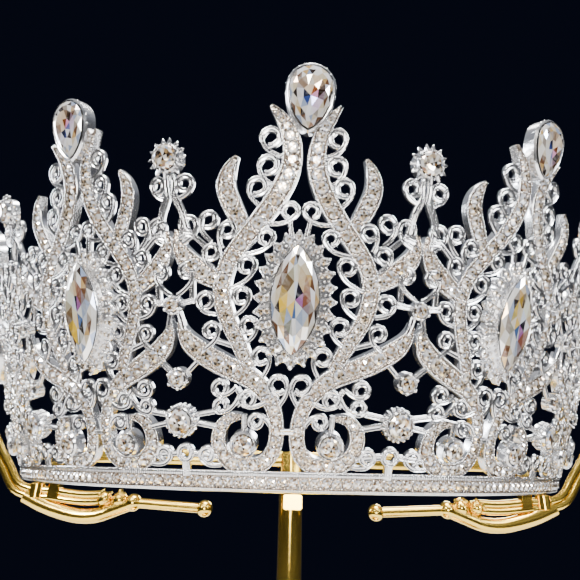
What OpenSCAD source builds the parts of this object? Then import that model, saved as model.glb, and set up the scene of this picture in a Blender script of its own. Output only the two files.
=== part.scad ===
// Pageant crown of five pierced motifs set with stones, carried by a display stand.
// The wall is a cone that leans out. A place on it is given by a motif number m, a share u
// of the half pitch (0 the motif's middle, 100 the line between two motifs) and a share of
// the slant height. Lines between motifs have the numbers -2.5 to 2.5.

/* [Crown] */
// Radius of the crown's face at the band's underside
crown_r = 98; // [92:0.5:104]
// Upright height from the band's underside to the tips
crown_h = 88; // [80:1:96]
// Outward lean of the wall in degrees
flare = 21; // [15:0.5:25]
// Angle round the crown from one motif to the next
motif_pitch = 27.25; // [26:0.25:28.5]

/* [Band] */
// Height of the band
band_h = 4.4; // [3.6:0.1:5]
// Thickness of the band
band_t = 2; // [1.6:0.1:2.6]
// Angle by which the band runs on past the last line between motifs
band_end = 9.5; // [8.5:0.5:11]

/* [Ribbons and wires] */
// Width of the widest ribbon
ribbon_w = 4.6; // [4:0.1:5.2]
// Thickness of the ribbons
ribbon_t = 2; // [1.6:0.1:2.4]
// Width of the scroll wires
wire_w = 1.3; // [1.1:0.1:1.6]
// Radius of a curl's eye, along the middle of the wire
curl_r = 1.7; // [1.4:0.05:2]
// Thickness of the plates that carry the stones
plate_t = 1.7; // [1.4:0.1:2.2]

/* [Stones] */
// Length of the pointed oval stones
marquise_l = 23.6; // [21:0.2:25]
// Width of the pointed oval stones
marquise_w = 10.4; // [9:0.2:11.4]
// Length of the pear stones
pear_l = 13.5; // [12:0.1:14.4]
// Width of the pear stones
pear_w = 9.4; // [8.4:0.1:10.2]
// Diameter of the drop stones inside the scrolls
drop_d = 4.6; // [4:0.1:5]
// Diameter of the stones that stand above the rim
crest_d = 5.6; // [5:0.1:6.2]
// Diameter of the flower stones above the band
flower_d = 5.5; // [5:0.1:6]
// Diameter of the claw stones above the flowers
claw_d = 3.6; // [3.2:0.1:4]
// Diameter of the upper claw stones
bud_d = 3; // [2.6:0.1:3.4]
// Petals in the halo round a pointed oval stone
halo_n = 20; // [16:2:24]
// Width of the metal round a main stone
bezel_w = 0.7; // [0.6:0.05:0.9]
// Space between a stone and its setting
stone_gap = 0.13; // [0.11:0.01:0.18]

/* [Stand] */
// Height of the stand up to the crown's band
stand_h = 95; // [85:1:130]
// Radius of the round foot
foot_r = 60; // [50:1:70]
// Thickness of the round foot
foot_t = 6; // [4:0.5:10]
// Diameter of the post
post_d = 6.5; // [6:0.5:9]
// Diameter of the upper side tubes
upper_tube_d = 3.9; // [3.6:0.1:4.2]
// Diameter of the lower side tubes
lower_tube_d = 3.8; // [3.4:0.1:4.2]
// Thickness of the flat crossbar
bar_t = 3; // [2.4:0.1:4]
// Height of the flat crossbar
bar_h = 4; // [3:0.1:5]
// Space between the crown's band and its rests
rest_gap = 0.2; // [0.12:0.01:0.3]

/* [Hidden] */
MOTIFS = [-2, -1, 0, 1, 2];
LINES = [-2.5, -1.5, -0.5, 0.5, 1.5, 2.5];
SIDES = [-1, 1];
function names(stem, n) = [for (i = [1 : n]) str(stem, "_", i)];

slant = crown_h / cos(flare);
half_pitch = motif_pitch / 2;
base_z = stand_h;
// Distance of the crown's axis behind the stand's post
set_back = 0.6735 * crown_r;

// Ribbons of the right half of a motif: [share of the half pitch, share of the slant,
// share of the ribbon width]. The left half mirrors them.
RAIL = [
    [26, 90, 17], [15, 86, 76], [9, 79, 92], [12.5, 72.2, 100],
    [29.5, 63.6, 96], [52, 54.8, 89], [59.5, 47, 85], [54, 40, 80], [36, 28.5, 66]
];
SCROLL = [
    [95, 41, 15], [93.5, 37, 66], [84, 33.8, 102], [30, 25.4, 91],
    [16, 21, 78], [9.6, 15, 74], [13, 9, 78], [25, 6.4, 80], [47, 6, 83],
    [65, 10.4, 79], [61, 15.8, 66], [42.5, 17.2, 26]
];
FLAME = [[49, 78.5, 17], [56.5, 72.5, 92], [42, 61, 70]];
LEAF = [[60, 48.7, 70], [85, 53.4, 100], [95.6, 62, 22]];

// Curls of the right half: [root u, root share of slant, eye u, eye share of slant,
// share of curl_r, turn: 1 to the left, -1 to the right]
CURLS = [
    [16, 78, 25, 82.5, 105, 1],
    [29, 67, 31, 72, 105, 1],
    [29, 62.6, 8.2, 65.4, 90, -1],
    [52, 47, 39, 52.8, 95, -1],
    [8, 19.7, 10, 24.8, 105, -1]
];

// Straight links of the right half: [from u, from share of slant, to u, to share of slant]
LINKS = [
    [8, 63.5, 5, 58],
    [84, 45.4, 84, 52],
    [-2, 14, 10, 14],
    [43, 17, 39, 11.5]
];

// Placing by hand, in shares of the pitch: [motif number, low, middle, high on the wall]
HAND = [
    [-2.5, 0, 0, 0], [-1, 0, 2, 8], [-0.5, -1, -2.5, -0.3], [0, -4, -1.6, 3.2],
    [0.5, -5, 2, -3.2], [1, -3, 0, 3], [2.5, 0, 0, 0]
];
// Shares of the slant at which the three shifts hold
HAND_LEVELS = [8, 40, 100];

// Heights of what stands on the lines between motifs, as shares of the slant
crest_level = 78.9;
bud_level = 44;
claw_level = 26.6;
flower_level = 16.7;
ring_level = 8.8;
// Heights of the middles of the main stones, as shares of the slant
pear_level = 91;
marquise_level = 44.7;
drop_level = 11.3;
// Shares of the half pitch at which a drop stone hangs
drop_share = 40;
// Half width and half height of the halo plate beyond the stone, in stone sizes
halo_wide = 1.77;
halo_tall = 1.3;
// Depth of the notches between the halo's points
notch = 1.1;
// Reach of the claws round a crest stone
claw_reach = 1.5;

function column(table, c) = [for (row = table) [row[0], row[c]]];
function hand_low(m) = lookup(m, column(HAND, 1));
function hand_mid(m) = lookup(m, column(HAND, 2));
function hand_high(m) = lookup(m, column(HAND, 3));
function hand(m, t) = motif_pitch / 100 * lookup(100 * t / slant, [
    [HAND_LEVELS[0], hand_low(m)], [HAND_LEVELS[1], hand_mid(m)], [HAND_LEVELS[2], hand_high(m)]
]);
function degrees(a) = a * 180 / PI;
function wall_r(t) = crown_r + t * sin(flare);
function half_arc(t) = wall_r(t) * half_pitch * PI / 180;
function up(share) = share / 100 * slant;
function across(u, t) = u / 100 * half_arc(t);
function turn_at(m, x, t) = m * motif_pitch + degrees(x / wall_r(t)) + hand(m + x / half_arc(t) / 2, t);
// A point of the wall: x along the face, t up the slant, off out from the face
function face(m, x, t, off = 0) =
    let (a = turn_at(m, x, t), r = wall_r(t) + off * cos(flare))
    [r * sin(a), -r * cos(a), t * cos(flare) - off * sin(flare)];
function lean(m, x, t) =
    -atan((turn_at(m, x, t + 2) - turn_at(m, x, t - 2)) * PI / 180 * wall_r(t) / 4);

module on_face(m, x, t, off = 0) {
    a = turn_at(m, x, t);
    rotate([0, 0, a])
        translate([0, -(wall_r(t) + off * cos(flare)), t * cos(flare) - off * sin(flare)])
            rotate([90 + flare, 0, 0])
                rotate([0, 0, lean(m, x, t)])
                    children();
}

function heading(p, i) =
    let (a = p[max(i - 1, 0)], b = p[min(i + 1, len(p) - 1)], d = [b[0] - a[0], b[1] - a[1]])
    d / norm(d);

// Sweep of a section along a path on the wall. path rows: [x, t, width];
// section rows: [share of half the width to the left, height off the face]
module sweep(m, path, section) {
    n = len(section);
    last = len(path) - 1;
    points = [for (i = [0 : last], s = section)
        let (d = heading(path, i), w = path[i][2] / 2 * s[0])
        face(m, path[i][0] - d[1] * w, path[i][1] + d[0] * w, s[1])];
    sides = [for (i = [0 : last - 1], j = [0 : n - 1])
        [i * n + j, (i + 1) * n + j, (i + 1) * n + (j + 1) % n, i * n + (j + 1) % n]];
    caps = [[for (j = [0 : n - 1]) j], [for (j = [n - 1 : -1 : 0]) last * n + j]];
    polyhedron(points, concat(sides, caps));
}

function flat_section(t) = [[1, -t], [1, 0], [-1, 0], [-1, -t]];
wire_section = [[1, -wire_w], [0, -0.25 * wire_w], [-1, -wire_w]];

module ribbon(m, side, table) {
    path = [for (row = table)
        [side * across(row[0], up(row[1])), up(row[1]), row[2] / 100 * ribbon_w]];
    sweep(m, path, flat_section(ribbon_t));
}

function curl_path(side, row) =
    let (
        root = [side * across(row[0], up(row[1])), up(row[1])],
        eye = [side * across(row[2], up(row[3])), up(row[3])],
        r = row[4] / 100 * curl_r, hand_of = side * row[5],
        v = root - eye, d = norm(v), start = atan2(v[1], v[0]),
        first = start + hand_of * acos(min(r / d, 0.99))
    )
    concat(
        [[root[0], root[1], wire_w]],
        [for (i = [0 : 4])
            let (a = first + hand_of * 75 * i, q = r * (1 - 0.06 * i))
            [eye[0] + q * cos(a), eye[1] + q * sin(a), wire_w]]
    );

module link(m, a, b, w = wire_w) {
    hull() sweep(m, [[a[0], a[1], w], [b[0], b[1], w]], wire_section);
}

// Outlines of the stones, as points round the stone's middle
function navette(l, w, n) = [for (i = [0 : n - 1])
    let (a = 360 * i / n, c = cos(a)) [w / 2 * sign(c) * pow(abs(c), 1.6), l / 2 * sin(a)]];
function pear(l, w, n) = [for (i = [0 : n - 1])
    let (a = 360 * i / n, c = cos(a), s = sin(a))
    s >= 0 ? [w / 2 * c, l / 2 - w / 2 + w / 2 * s]
        : [w / 2 * sign(c) * pow(abs(c), 1.4), l / 2 - w / 2 + (l - w / 2) * s]];
function round_outline(d, n) = [for (i = [0 : n - 1]) d / 2 * [cos(360 * i / n), sin(360 * i / n)]];

// A cut stone: culet, girdle and table are copies of the outline at three heights
module gem(outline, low, girdle, high) {
    n = len(outline);
    levels = [[0.45, low], [1, girdle], [0.6, high]];
    points = [for (v = levels, p = outline) [p[0] * v[0], p[1] * v[0], v[1]]];
    sides = [for (k = [0 : 1], j = [0 : n - 1])
        [k * n + j, (k + 1) * n + j, (k + 1) * n + (j + 1) % n, k * n + (j + 1) % n]];
    caps = [[for (j = [0 : n - 1]) j], [for (j = [n - 1 : -1 : 0]) 2 * n + j]];
    polyhedron(points, concat(sides, caps));
}

plate_top = 0.3;
seat = plate_top + stone_gap;

module pear_gem() gem(pear(pear_l, pear_w, 12), seat, plate_top + 0.19 * pear_w, plate_top + 0.31 * pear_w);
module marquise_gem()
    gem(navette(marquise_l, marquise_w, 12), seat, plate_top + 0.17 * marquise_w, plate_top + 0.29 * marquise_w);
module round_gem(d, n = 8) gem(round_outline(d, n), seat, plate_top + 0.3 * d, plate_top + 0.46 * d);

// A cup whose wall follows a stone's outline, open above the plate's top
module cup(outline, wall_h) {
    difference() {
        translate([0, 0, plate_top - plate_t])
            linear_extrude(plate_t + wall_h) polygon(widen(outline, stone_gap + bezel_w));
        translate([0, 0, plate_top]) linear_extrude(wall_h + 1) polygon(widen(outline, stone_gap));
    }
}
function widen(outline, by) = [for (p = outline) p * (1 + by / norm(p))];

module disc(d, n) translate([0, 0, plate_top - plate_t]) cylinder(h = plate_t, d = d, $fn = n);
module round_setting(d) disc(d + 2 * (stone_gap + bezel_w), 8);

module band() {
    reach = 2.5 * motif_pitch + band_end;
    rise = band_h * tan(flare);
    rotate([0, 0, -90 - reach])
        rotate_extrude(angle = 2 * reach, $fn = 48)
            polygon([
                [crown_r - band_t, 0], [crown_r, 0],
                [crown_r + rise, band_h], [crown_r + rise - band_t, band_h]
            ]);
}

module halo_plate(m) {
    t = up(marquise_level);
    n = 2 * halo_n;
    outer = [for (i = [0 : n - 1])
        let (a = 360 * i / n, d = i % 2 == 0 ? 0 : notch)
        [(halo_wide * marquise_w / 2 - d) * cos(a), (halo_tall * marquise_l / 2 - d) * sin(a)]];
    on_face(m, 0, t)
        translate([0, 0, plate_top - plate_t]) linear_extrude(plate_t) polygon(outer);
}

module pear_setting(m) on_face(m, 0, up(pear_level)) cup(pear(pear_l, pear_w, 12), 1.2);

module motif(m) {
    halo_plate(m);
    pear_setting(m);
    for (side = SIDES) {
        ribbon(m, side, RAIL);
        ribbon(m, side, SCROLL);
        ribbon(m, side, FLAME);
        ribbon(m, side, LEAF);
        for (row = CURLS)
            sweep(m, curl_path(side, row), wire_section);
        for (row = LINKS)
            link(m, [side * across(row[0], up(row[1])), up(row[1])],
                [side * across(row[2], up(row[3])), up(row[3])]);
        on_face(m, side * across(drop_share, up(drop_level)), up(drop_level)) round_setting(drop_d);
    }
}

// What stands on the line between two motifs; x is measured from that line
module line_pieces(k) {
    stem = up(crest_level) - crest_d / 2;
    on_face(k, 0, up(crest_level)) disc(crest_d + 2 * claw_reach, 8);
    sweep(k, [[0, stem, 3], [0, up(69.4), 3.2]], flat_section(plate_t));
    for (side = SIDES) {
        link(k, [side * 0.8, up(70.4)], [side * across(9, up(60)), up(60)], 1.6);
        link(k, [side * across(3, up(43.2)), up(43.2)], [side * across(8, up(38)), up(38)]);
        link(k, [side * across(6, up(27.4)), up(27.4)], [side * across(19, up(32)), up(32)]);
        link(k, [side * across(9, up(17.4)), up(17.4)], [side * across(34, up(16)), up(16)]);
    }
    link(k, [across(-34, up(8)), up(8)], [across(34, up(8)), up(8)]);
    link(k, [0, up(ring_level)], [0, up(3.5)], 1.8);
    on_face(k, 0, up(bud_level)) round_setting(bud_d);
    on_face(k, 0, up(claw_level)) round_setting(claw_d);
    on_face(k, 0, up(flower_level)) round_setting(flower_d);
}

module crown_frame() {
    color("silver")
        place() {
            band();
            for (m = MOTIFS)
                motif(m);
            for (k = LINES)
                line_pieces(k);
        }
}

module pear_stone(i) color("lavenderblush") place() on_face(MOTIFS[i], 0, up(pear_level)) pear_gem();
module marquise_stone(i) color("seashell") place() on_face(MOTIFS[i], 0, up(marquise_level)) marquise_gem();
module drop_stone(i) {
    side = SIDES[i % 2];
    color("white") place()
        on_face(MOTIFS[floor(i / 2)], side * across(drop_share, up(drop_level)), up(drop_level))
            round_gem(drop_d);
}
module crest_stone(i) color("white") place() on_face(LINES[i], 0, up(crest_level)) round_gem(crest_d);
module flower_stone(i) color("white") place() on_face(LINES[i], 0, up(flower_level)) round_gem(flower_d, 10);
module place() translate([0, set_back, base_z]) children();

module claw_stones() {
    color("white") place()
        for (k = LINES) {
            on_face(k, 0, up(bud_level)) small_gem(bud_d);
            on_face(k, 0, up(claw_level)) small_gem(claw_d);
        }
}
module small_gem(d) translate([0, 0, seat]) hull() cylinder(h = 0.42 * d, d1 = d, d2 = 0.6 * d, $fn = 8);

module display_stand() {
    color("gold") {
        foot();
        translate([0, 0, foot_t / 2]) cylinder(h = base_z + bar_z + bar_h / 2 - foot_t / 2, d = post_d, $fn = 48);
        translate([-bar_half, -bar_t / 2, base_z + bar_z - bar_h / 2]) cube([2 * bar_half, bar_t, bar_h]);
        side_arm();
        mirror([1, 0, 0]) side_arm();
        front_rest();
    }
}

// The stand's side tubes, in the plane of the crossbar: [share of crown_r outwards,
// share of crown_r above the band's underside]
LOW_ARM = [[44.7, -4.8], [49.8, -6.7], [54.5, -8.3], [59.6, -8.5], [64.9, -7.5], [70.2, -5.9], [75.3, -3.7]];
HIGH_ARM = [
    [53.8, -3.8], [58.7, -4], [63.8, -3.6], [68.9, -3], [73.7, -2.9],
    [78.8, -1.2], [82.7, 3.7], [86.9, 9], [90.8, 15.1], [94.1, 21.4]
];
bar_z = 7.5;
// Distances from the crown's axis plane to a rest, and to the crossbar's end
rest_x = sqrt(pow(crown_r - band_t / 2, 2) - pow(set_back, 2));
bar_half = rest_x - 5;
rod_d = 2.6;
ball_d = 4.4;
knot_d = 5.4;

function arm_point(row) = [row[0] / 100 * crown_r, 0, base_z + row[1] / 100 * crown_r];

// A round bar between two points of the crossbar's plane
module rod(a, b, d) {
    v = b - a;
    translate(a) rotate([0, atan2(v[0], v[2]), 0]) cylinder(h = norm(v), d = d, $fn = 32);
}

module tube(table, d) {
    for (i = [0 : len(table) - 2])
        rod(arm_point(table[i]), arm_point(table[i + 1]), d);
    for (row = table)
        ball(row, 1.03 * d);
}

module ball(row, d) translate(arm_point(row)) sphere(d = d, $fn = 32);

// The side tubes on the right, with the rest that carries the band
module side_arm() {
    outer_ball = [24.3, -5.9];
    tube(LOW_ARM, lower_tube_d);
    tube(HIGH_ARM, upper_tube_d);
    rod(arm_point(outer_ball), arm_point(LOW_ARM[0]), rod_d);
    ball(outer_ball, ball_d);
    ball(LOW_ARM[0], ball_d + 0.2);
    ball(HIGH_ARM[len(HIGH_ARM) - 1], ball_d + 2);
    ball([48.6, -4.2], knot_d);
    ball([53, -4.1], knot_d - 0.4);
    low = 0.04 * crown_r;
    translate([rest_x, 0, base_z - low]) cylinder(h = low - rest_gap, d = band_t + 2, $fn = 32);
    translate([bar_half - bar_t / 2, -bar_t / 2, base_z - low]) cube([bar_t, bar_t, low + bar_z]);
}

// A tongue that carries the front of the band
module front_rest() {
    tongue_w = band_t + 2;
    reach = crown_r - set_back;
    translate([-tongue_w / 2, -reach, base_z - rest_gap - bar_t]) cube([tongue_w, reach, bar_t]);
}

module foot() {
    rotate_extrude($fn = 96)
        polygon([
            [0, 0], [foot_r, 0], [foot_r, foot_t / 2], [foot_r - 2, foot_t - 1],
            [foot_r / 4, foot_t], [post_d, foot_t + 3], [0, foot_t + 3]
        ]);
}

crown_frame();
display_stand();
claw_stones();
for (i = [0 : len(MOTIFS) - 1])
    pear_stone(i);
for (i = [0 : len(MOTIFS) - 1])
    marquise_stone(i);
for (i = [0 : 2 * len(MOTIFS) - 1])
    drop_stone(i);
for (i = [0 : len(LINES) - 1])
    crest_stone(i);
for (i = [0 : len(LINES) - 1])
    flower_stone(i);
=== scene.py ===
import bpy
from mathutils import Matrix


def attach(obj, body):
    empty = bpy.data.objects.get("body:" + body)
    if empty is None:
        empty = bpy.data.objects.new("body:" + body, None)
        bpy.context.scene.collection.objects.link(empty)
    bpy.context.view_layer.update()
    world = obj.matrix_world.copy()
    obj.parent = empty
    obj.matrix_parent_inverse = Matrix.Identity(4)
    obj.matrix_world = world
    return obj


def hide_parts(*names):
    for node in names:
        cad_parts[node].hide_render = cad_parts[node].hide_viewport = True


bl_info = {
    "name": "Pageant crown",
    "version": (1, 0, 0),
    "blender": (4, 5, 0),
    "location": "View3D > Sidebar > Crown",
    "description": "Dresses a pageant crown and its gilt stand with pave, wires, halos and cut stones",
    "category": "Object",
}

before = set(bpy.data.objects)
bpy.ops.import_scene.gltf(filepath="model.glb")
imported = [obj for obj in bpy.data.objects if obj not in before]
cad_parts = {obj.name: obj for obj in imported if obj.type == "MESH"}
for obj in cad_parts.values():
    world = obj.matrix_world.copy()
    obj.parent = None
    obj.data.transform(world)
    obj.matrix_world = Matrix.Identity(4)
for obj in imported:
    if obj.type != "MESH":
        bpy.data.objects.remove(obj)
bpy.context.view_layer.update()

import math
import random

import bmesh
import bpy
from mathutils import Matrix, Vector

MM = 0.001
FRAME_NODE = "crown_frame"
STAND_NODE = "display_stand"
MOTIFS = (-2, -1, 0, 1, 2)
LINES = (-2.5, -1.5, -0.5, 0.5, 1.5, 2.5)
SIDES = (-1, 1)

# Ribbons of a motif's right half: share of the half pitch, share of the slant, share of the
# ribbon width, all in percent. The left half mirrors them.
RAIL = (
    (26.0, 90.0, 17), (20.8, 88.1, 45), (14.6, 85.2, 72), (10.2, 81.5, 88), (9.2, 77.0, 97),
    (12.4, 72.8, 100), (19.1, 68.4, 100), (29.5, 63.6, 96), (42.8, 58.4, 92), (53.4, 53.8, 89),
    (59.0, 48.5, 86), (58.0, 43.8, 83), (52.4, 38.9, 79), (44.9, 34.5, 75), (36.0, 28.6, 66),
)
SCROLL = (
    (95.1, 40.9, 15), (93.8, 37.9, 54), (88.4, 35.1, 92), (79.7, 32.9, 106), (68.2, 30.9, 109),
    (55.6, 29.1, 107), (42.1, 27.4, 100), (29.3, 25.2, 91), (19.5, 22.4, 83), (13.0, 19.1, 76),
    (9.6, 15.0, 74), (10.0, 11.6, 76), (14.3, 8.6, 78), (24.0, 6.5, 80), (36.0, 6.0, 83),
    (50.0, 6.4, 83), (60.5, 8.4, 80), (65.4, 11.4, 78), (62.8, 14.8, 70), (54.0, 17.0, 52),
    (42.5, 17.4, 26),
)
FLAME = (
    (48.7, 78.4, 17), (53.8, 75.8, 61), (56.6, 72.9, 86), (55.9, 70.2, 93), (52.0, 67.1, 93),
    (47.5, 64.3, 86), (42.1, 61.2, 70),
)
LEAF = (
    (60.2, 48.7, 70), (70.2, 50.4, 94), (81.0, 52.7, 102), (89.8, 55.4, 92), (95.0, 58.6, 62),
    (95.6, 62.0, 22),
)
# The ribbons with their places behind the wall's face, in mm
RIBBONS = ((RAIL, 0.0), (SCROLL, -0.06), (FLAME, -0.1), (LEAF, -0.14))

# Curls of the right half: root u, root share of slant, eye u, eye share of slant, share of the
# curl radius, turn (1 to the left, -1 to the right)
CURLS = (
    (16, 78, 25, 82.5, 105, 1), (21.9, 71.4, 26, 76, 105, 1), (31, 66.6, 33, 71, 102, 1),
    (58.7, 56.7, 54.8, 61.1, 88, 1), (65.8, 52.4, 67.8, 56, 88, 1), (67.6, 58.5, 70, 63.6, 94, 1),
    (29, 62.6, 8.2, 65.4, 90, -1), (42.5, 55.3, 25, 59.2, 85, -1), (52, 47.4, 39, 52.8, 95, -1),
    (48, 41, 43, 45.6, 92, -1), (40, 34.4, 36.4, 38.6, 92, -1), (24, 26.7, 25.7, 31.5, 92, -1),
    (8, 20.2, 10, 24.8, 105, -1), (20.8, 20.9, 37, 21.6, 86, 1), (47.3, 24.4, 62, 24.2, 86, 1),
    (44, 22.6, 62, 19.9, 76, 1), (15.6, 15.3, 29, 16.4, 74, -1), (63, 6.2, 77.7, 8.4, 82, 1),
    (63.5, 41.4, 72.9, 44.7, 94, 1), (73, 33.6, 68, 37.7, 82, -1),
)
# Plain wires of the right half, as points in shares
LINKS = (
    ((8, 63.5), (5, 58)), ((84, 45.4), (84, 52)), ((-2, 14), (10, 14)), ((40, 18), (40, 13.8)),
    ((79, 44.8), (92, 44.4)), ((50, 34), (64, 35.2)), ((72, 57.5), (84, 60.4), (93, 60)),
    ((40, 21.6), (47, 24)), ((36, 23), (47, 20)),
)
# What stands on a line between motifs: curls, then plain wires, in the same shares
LINE_CURLS = ((7, 69.4, 11.5, 72.8, 94, 1), (9, 58.6, 14, 62.8, 100, 1), (3, 46.3, 12, 52, 86, 1))
LINE_LINKS = (
    ((3, 70.6), (9, 66.6), (13, 62)), ((1.5, 76.8), (2.9, 74), (2.6, 71.6), (1.2, 69.6)),
    ((1.6, 71), (4.6, 68.4), (9.2, 65.2), (9, 62), (7, 59)), ((3, 43.2), (6, 40), (8, 38)),
    ((4, 44.4), (20, 45)), ((6, 27.4), (18, 30.4)), ((9, 17.6), (32, 18.6)), ((9, 16.2), (34, 15)),
    ((5, 8.8), (20, 8.4), (34, 8)), ((1.2, 7), (1.2, 3.5)),
)
# Placing, given one by one, in percent of the pitch: motif number, low, middle, high on the wall
HAND = (
    (-2.5, 0, 0, 0), (-1, 0, 2, 8), (-0.5, -1, -2.5, -0.3), (0, -4, -1.6, 3.2),
    (0.5, -5, 2, -3.2), (1, -3, 0, 3), (2.5, 0, 0, 0),
)
HAND_LEVELS = (8, 40, 100)

CREST_LEVEL, BUD_LEVEL, CLAW_LEVEL, FLOWER_LEVEL, RING_LEVEL = 78.9, 44.0, 26.6, 16.7, 8.8
PEAR_LEVEL, NAVETTE_LEVEL, DROP_LEVEL, DROP_SHARE = 91.0, 44.7, 11.3, 40.0
HALO_WIDE, HALO_TALL = 1.77, 1.3
PLATE_TOP = 0.3 * MM

# Distance of the crown's axis behind the post, as a share of the crown's radius
SET_BACK = 0.6735
# The stand's side tubes in the crossbar's plane: shares of the crown's radius outwards and up
LOW_ARM = ((44.7, -4.8), (49.8, -6.7), (54.5, -8.3), (59.6, -8.5), (64.9, -7.5), (70.2, -5.9), (75.3, -3.7))
HIGH_ARM = (
    (53.8, -3.8), (58.7, -4), (63.8, -3.6), (68.9, -3), (73.7, -2.9),
    (78.8, -1.2), (82.7, 3.7), (86.9, 9), (90.8, 15.1), (94.1, 21.4),
)
OUTER_BALL = (24.3, -5.9)
# The cast knots with their diameters in mm, each covered with leaves and beads along a spiral
KNOTS = (((48.6, -4.2), 5.4), ((53, -4.1), 5.0))
KNOT_PARTS, SPIRAL = 16, 2.4
# The foot's outline: share of its radius, share of its thickness, and mm on top of that
FOOT_OUTLINE = (
    (0.98, 0, 0), (1, 0.04, 0), (1, 0.4, 0), (0.992, 0.62, 0), (0.967, 0.8, 0), (0.7, 0.87, 0),
    (0.4, 0.95, 0), (0.25, 1, 0), (0.17, 1, 0.9), (0.11, 1, 2.6), (0.06, 1, 3),
)


def length(label, value, about):
    return bpy.props.FloatProperty(
        name=label, description=about, default=value * MM, unit="LENGTH", precision=5
    )


def angle(label, value, about):
    return bpy.props.FloatProperty(name=label, description=about, default=value, subtype="ANGLE")


def tint(label, value, about):
    return bpy.props.FloatVectorProperty(
        name=label, description=about, default=value, size=3, subtype="COLOR", min=0, max=1
    )


class CrownSizes(bpy.types.PropertyGroup):
    crown_r: length("Face radius", 98, "Radius of the crown's face at the band's underside")
    crown_h: length("Height", 88, "Upright height from the band's underside to the tips")
    flare: angle("Flare", math.radians(21), "Outward lean of the wall")
    motif_pitch: angle("Motif pitch", math.radians(27.25), "Angle from one motif to the next")
    band_end: angle(
        "Band end", math.radians(9.5), "Angle by which the band runs past the last line between motifs"
    )
    band_h: length("Band height", 4.4, "Height of the band")
    band_t: length("Band thickness", 2, "Thickness of the band")
    ribbon_w: length("Ribbon width", 4.6, "Width of the widest ribbon")
    wire_w: length("Wire width", 1.6, "Width of the scroll wires")
    curl_r: length("Curl radius", 1.85, "Radius of a curl's eye along the middle of the wire")
    plate_t: length("Plate thickness", 1.7, "Thickness of the plates that carry the stones")
    bezel_w: length("Bezel width", 0.7, "Width of the metal round a main stone")
    pave_d: length("Pave stone", 2.9, "Diameter of the largest stones set in the ribbons")
    grain_d: length("Grain", 0.62, "Diameter of the grains that hold the pave stones")
    halo_d: length("Halo stone", 1.7, "Diameter of the stones in the halo's petals")
    halo_n: bpy.props.IntProperty(name="Halo petals", description="Petals in one halo", default=24, min=12)


class StoneSizes(bpy.types.PropertyGroup):
    navette_l: length("Navette length", 23.6, "Length of the pointed oval stones")
    navette_w: length("Navette width", 10.4, "Width of the pointed oval stones")
    pear_l: length("Pear length", 13.5, "Length of the pear stones")
    pear_w: length("Pear width", 9.4, "Width of the pear stones")
    drop_d: length("Drop", 4.6, "Diameter of the stones inside the scrolls")
    crest_d: length("Crest", 5.6, "Diameter of the stones above the rim")
    flower_d: length("Flower", 5.5, "Diameter of the flower stones")
    claw_d: length("Claw", 3.6, "Diameter of the lower claw stones")
    bud_d: length("Bud", 3, "Diameter of the upper claw stones")
    gap: length("Clearance", 0.13, "Space between a stone and its setting")


class StandSizes(bpy.types.PropertyGroup):
    stand_h: length("Height", 95, "Height of the stand up to the crown's band")
    foot_r: length("Foot radius", 60, "Radius of the round foot")
    foot_t: length("Foot thickness", 6, "Thickness of the round foot")
    post_d: length("Post", 6.5, "Diameter of the post")
    upper_d: length("Upper tube", 3.9, "Width of the paired upper side tubes")
    lower_d: length("Lower tube", 3.8, "Diameter of the lower side tubes")
    rod_d: length("Rod", 2.6, "Diameter of the rods between the balls")
    ball_d: length("Ball", 4.4, "Diameter of the balls")
    bar_t: length("Bar thickness", 3, "Thickness of the crossbar")
    bar_h: length("Bar height", 4, "Height of the crossbar")
    bar_z: length("Bar level", 7.5, "Height of the crossbar's middle above the band's underside")
    rest_gap: length("Rest gap", 0.2, "Space between the band and its rests")


class Finishes(bpy.types.PropertyGroup):
    plating: tint("Plating", (0.86, 0.86, 0.868), "Colour of the silver-toned plating")
    gilt: tint("Gilt", (0.94, 0.65, 0.12), "Colour of the gilt stand")
    # crystal and shade give the stones' painted facet light: a painted glint on bright facets, painted shade
    # on dark ones
    crystal: tint("Crystal", (0.97, 0.95, 0.92), "Bright facets of the stones")
    shade: tint("Crystal shade", (0.1, 0.085, 0.07), "Dark facets of the stones")
    floor: tint("Floor", (0.74, 0.73, 0.72), "Colour of the floor")
    backdrop: tint("Backdrop", (0.0024, 0.0033, 0.0085), "Colour of the room round the crown")


class StageSettings(bpy.types.PropertyGroup):
    focal: bpy.props.FloatProperty(
        name="Focal length", description="In pixels of a 580 pixel frame", default=457.7
    )
    place: bpy.props.FloatVectorProperty(
        name="Camera", description="Place of the camera over the band's underside", size=3,
        default=(-2.11 * MM, -140.86 * MM, 5.04 * MM), unit="LENGTH",
    )
    yaw: angle("Yaw", 0.0037, "Turn of the camera")
    pitch: angle("Pitch", 0.3721, "Upward tilt")
    roll: angle("Roll", 0.0245, "Roll of the camera")


GROUPS = {
    "crown_sizes": CrownSizes,
    "stone_sizes": StoneSizes,
    "stand_sizes": StandSizes,
    "finishes": Finishes,
    "stage_settings": StageSettings,
}


# The crown's wall

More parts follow.
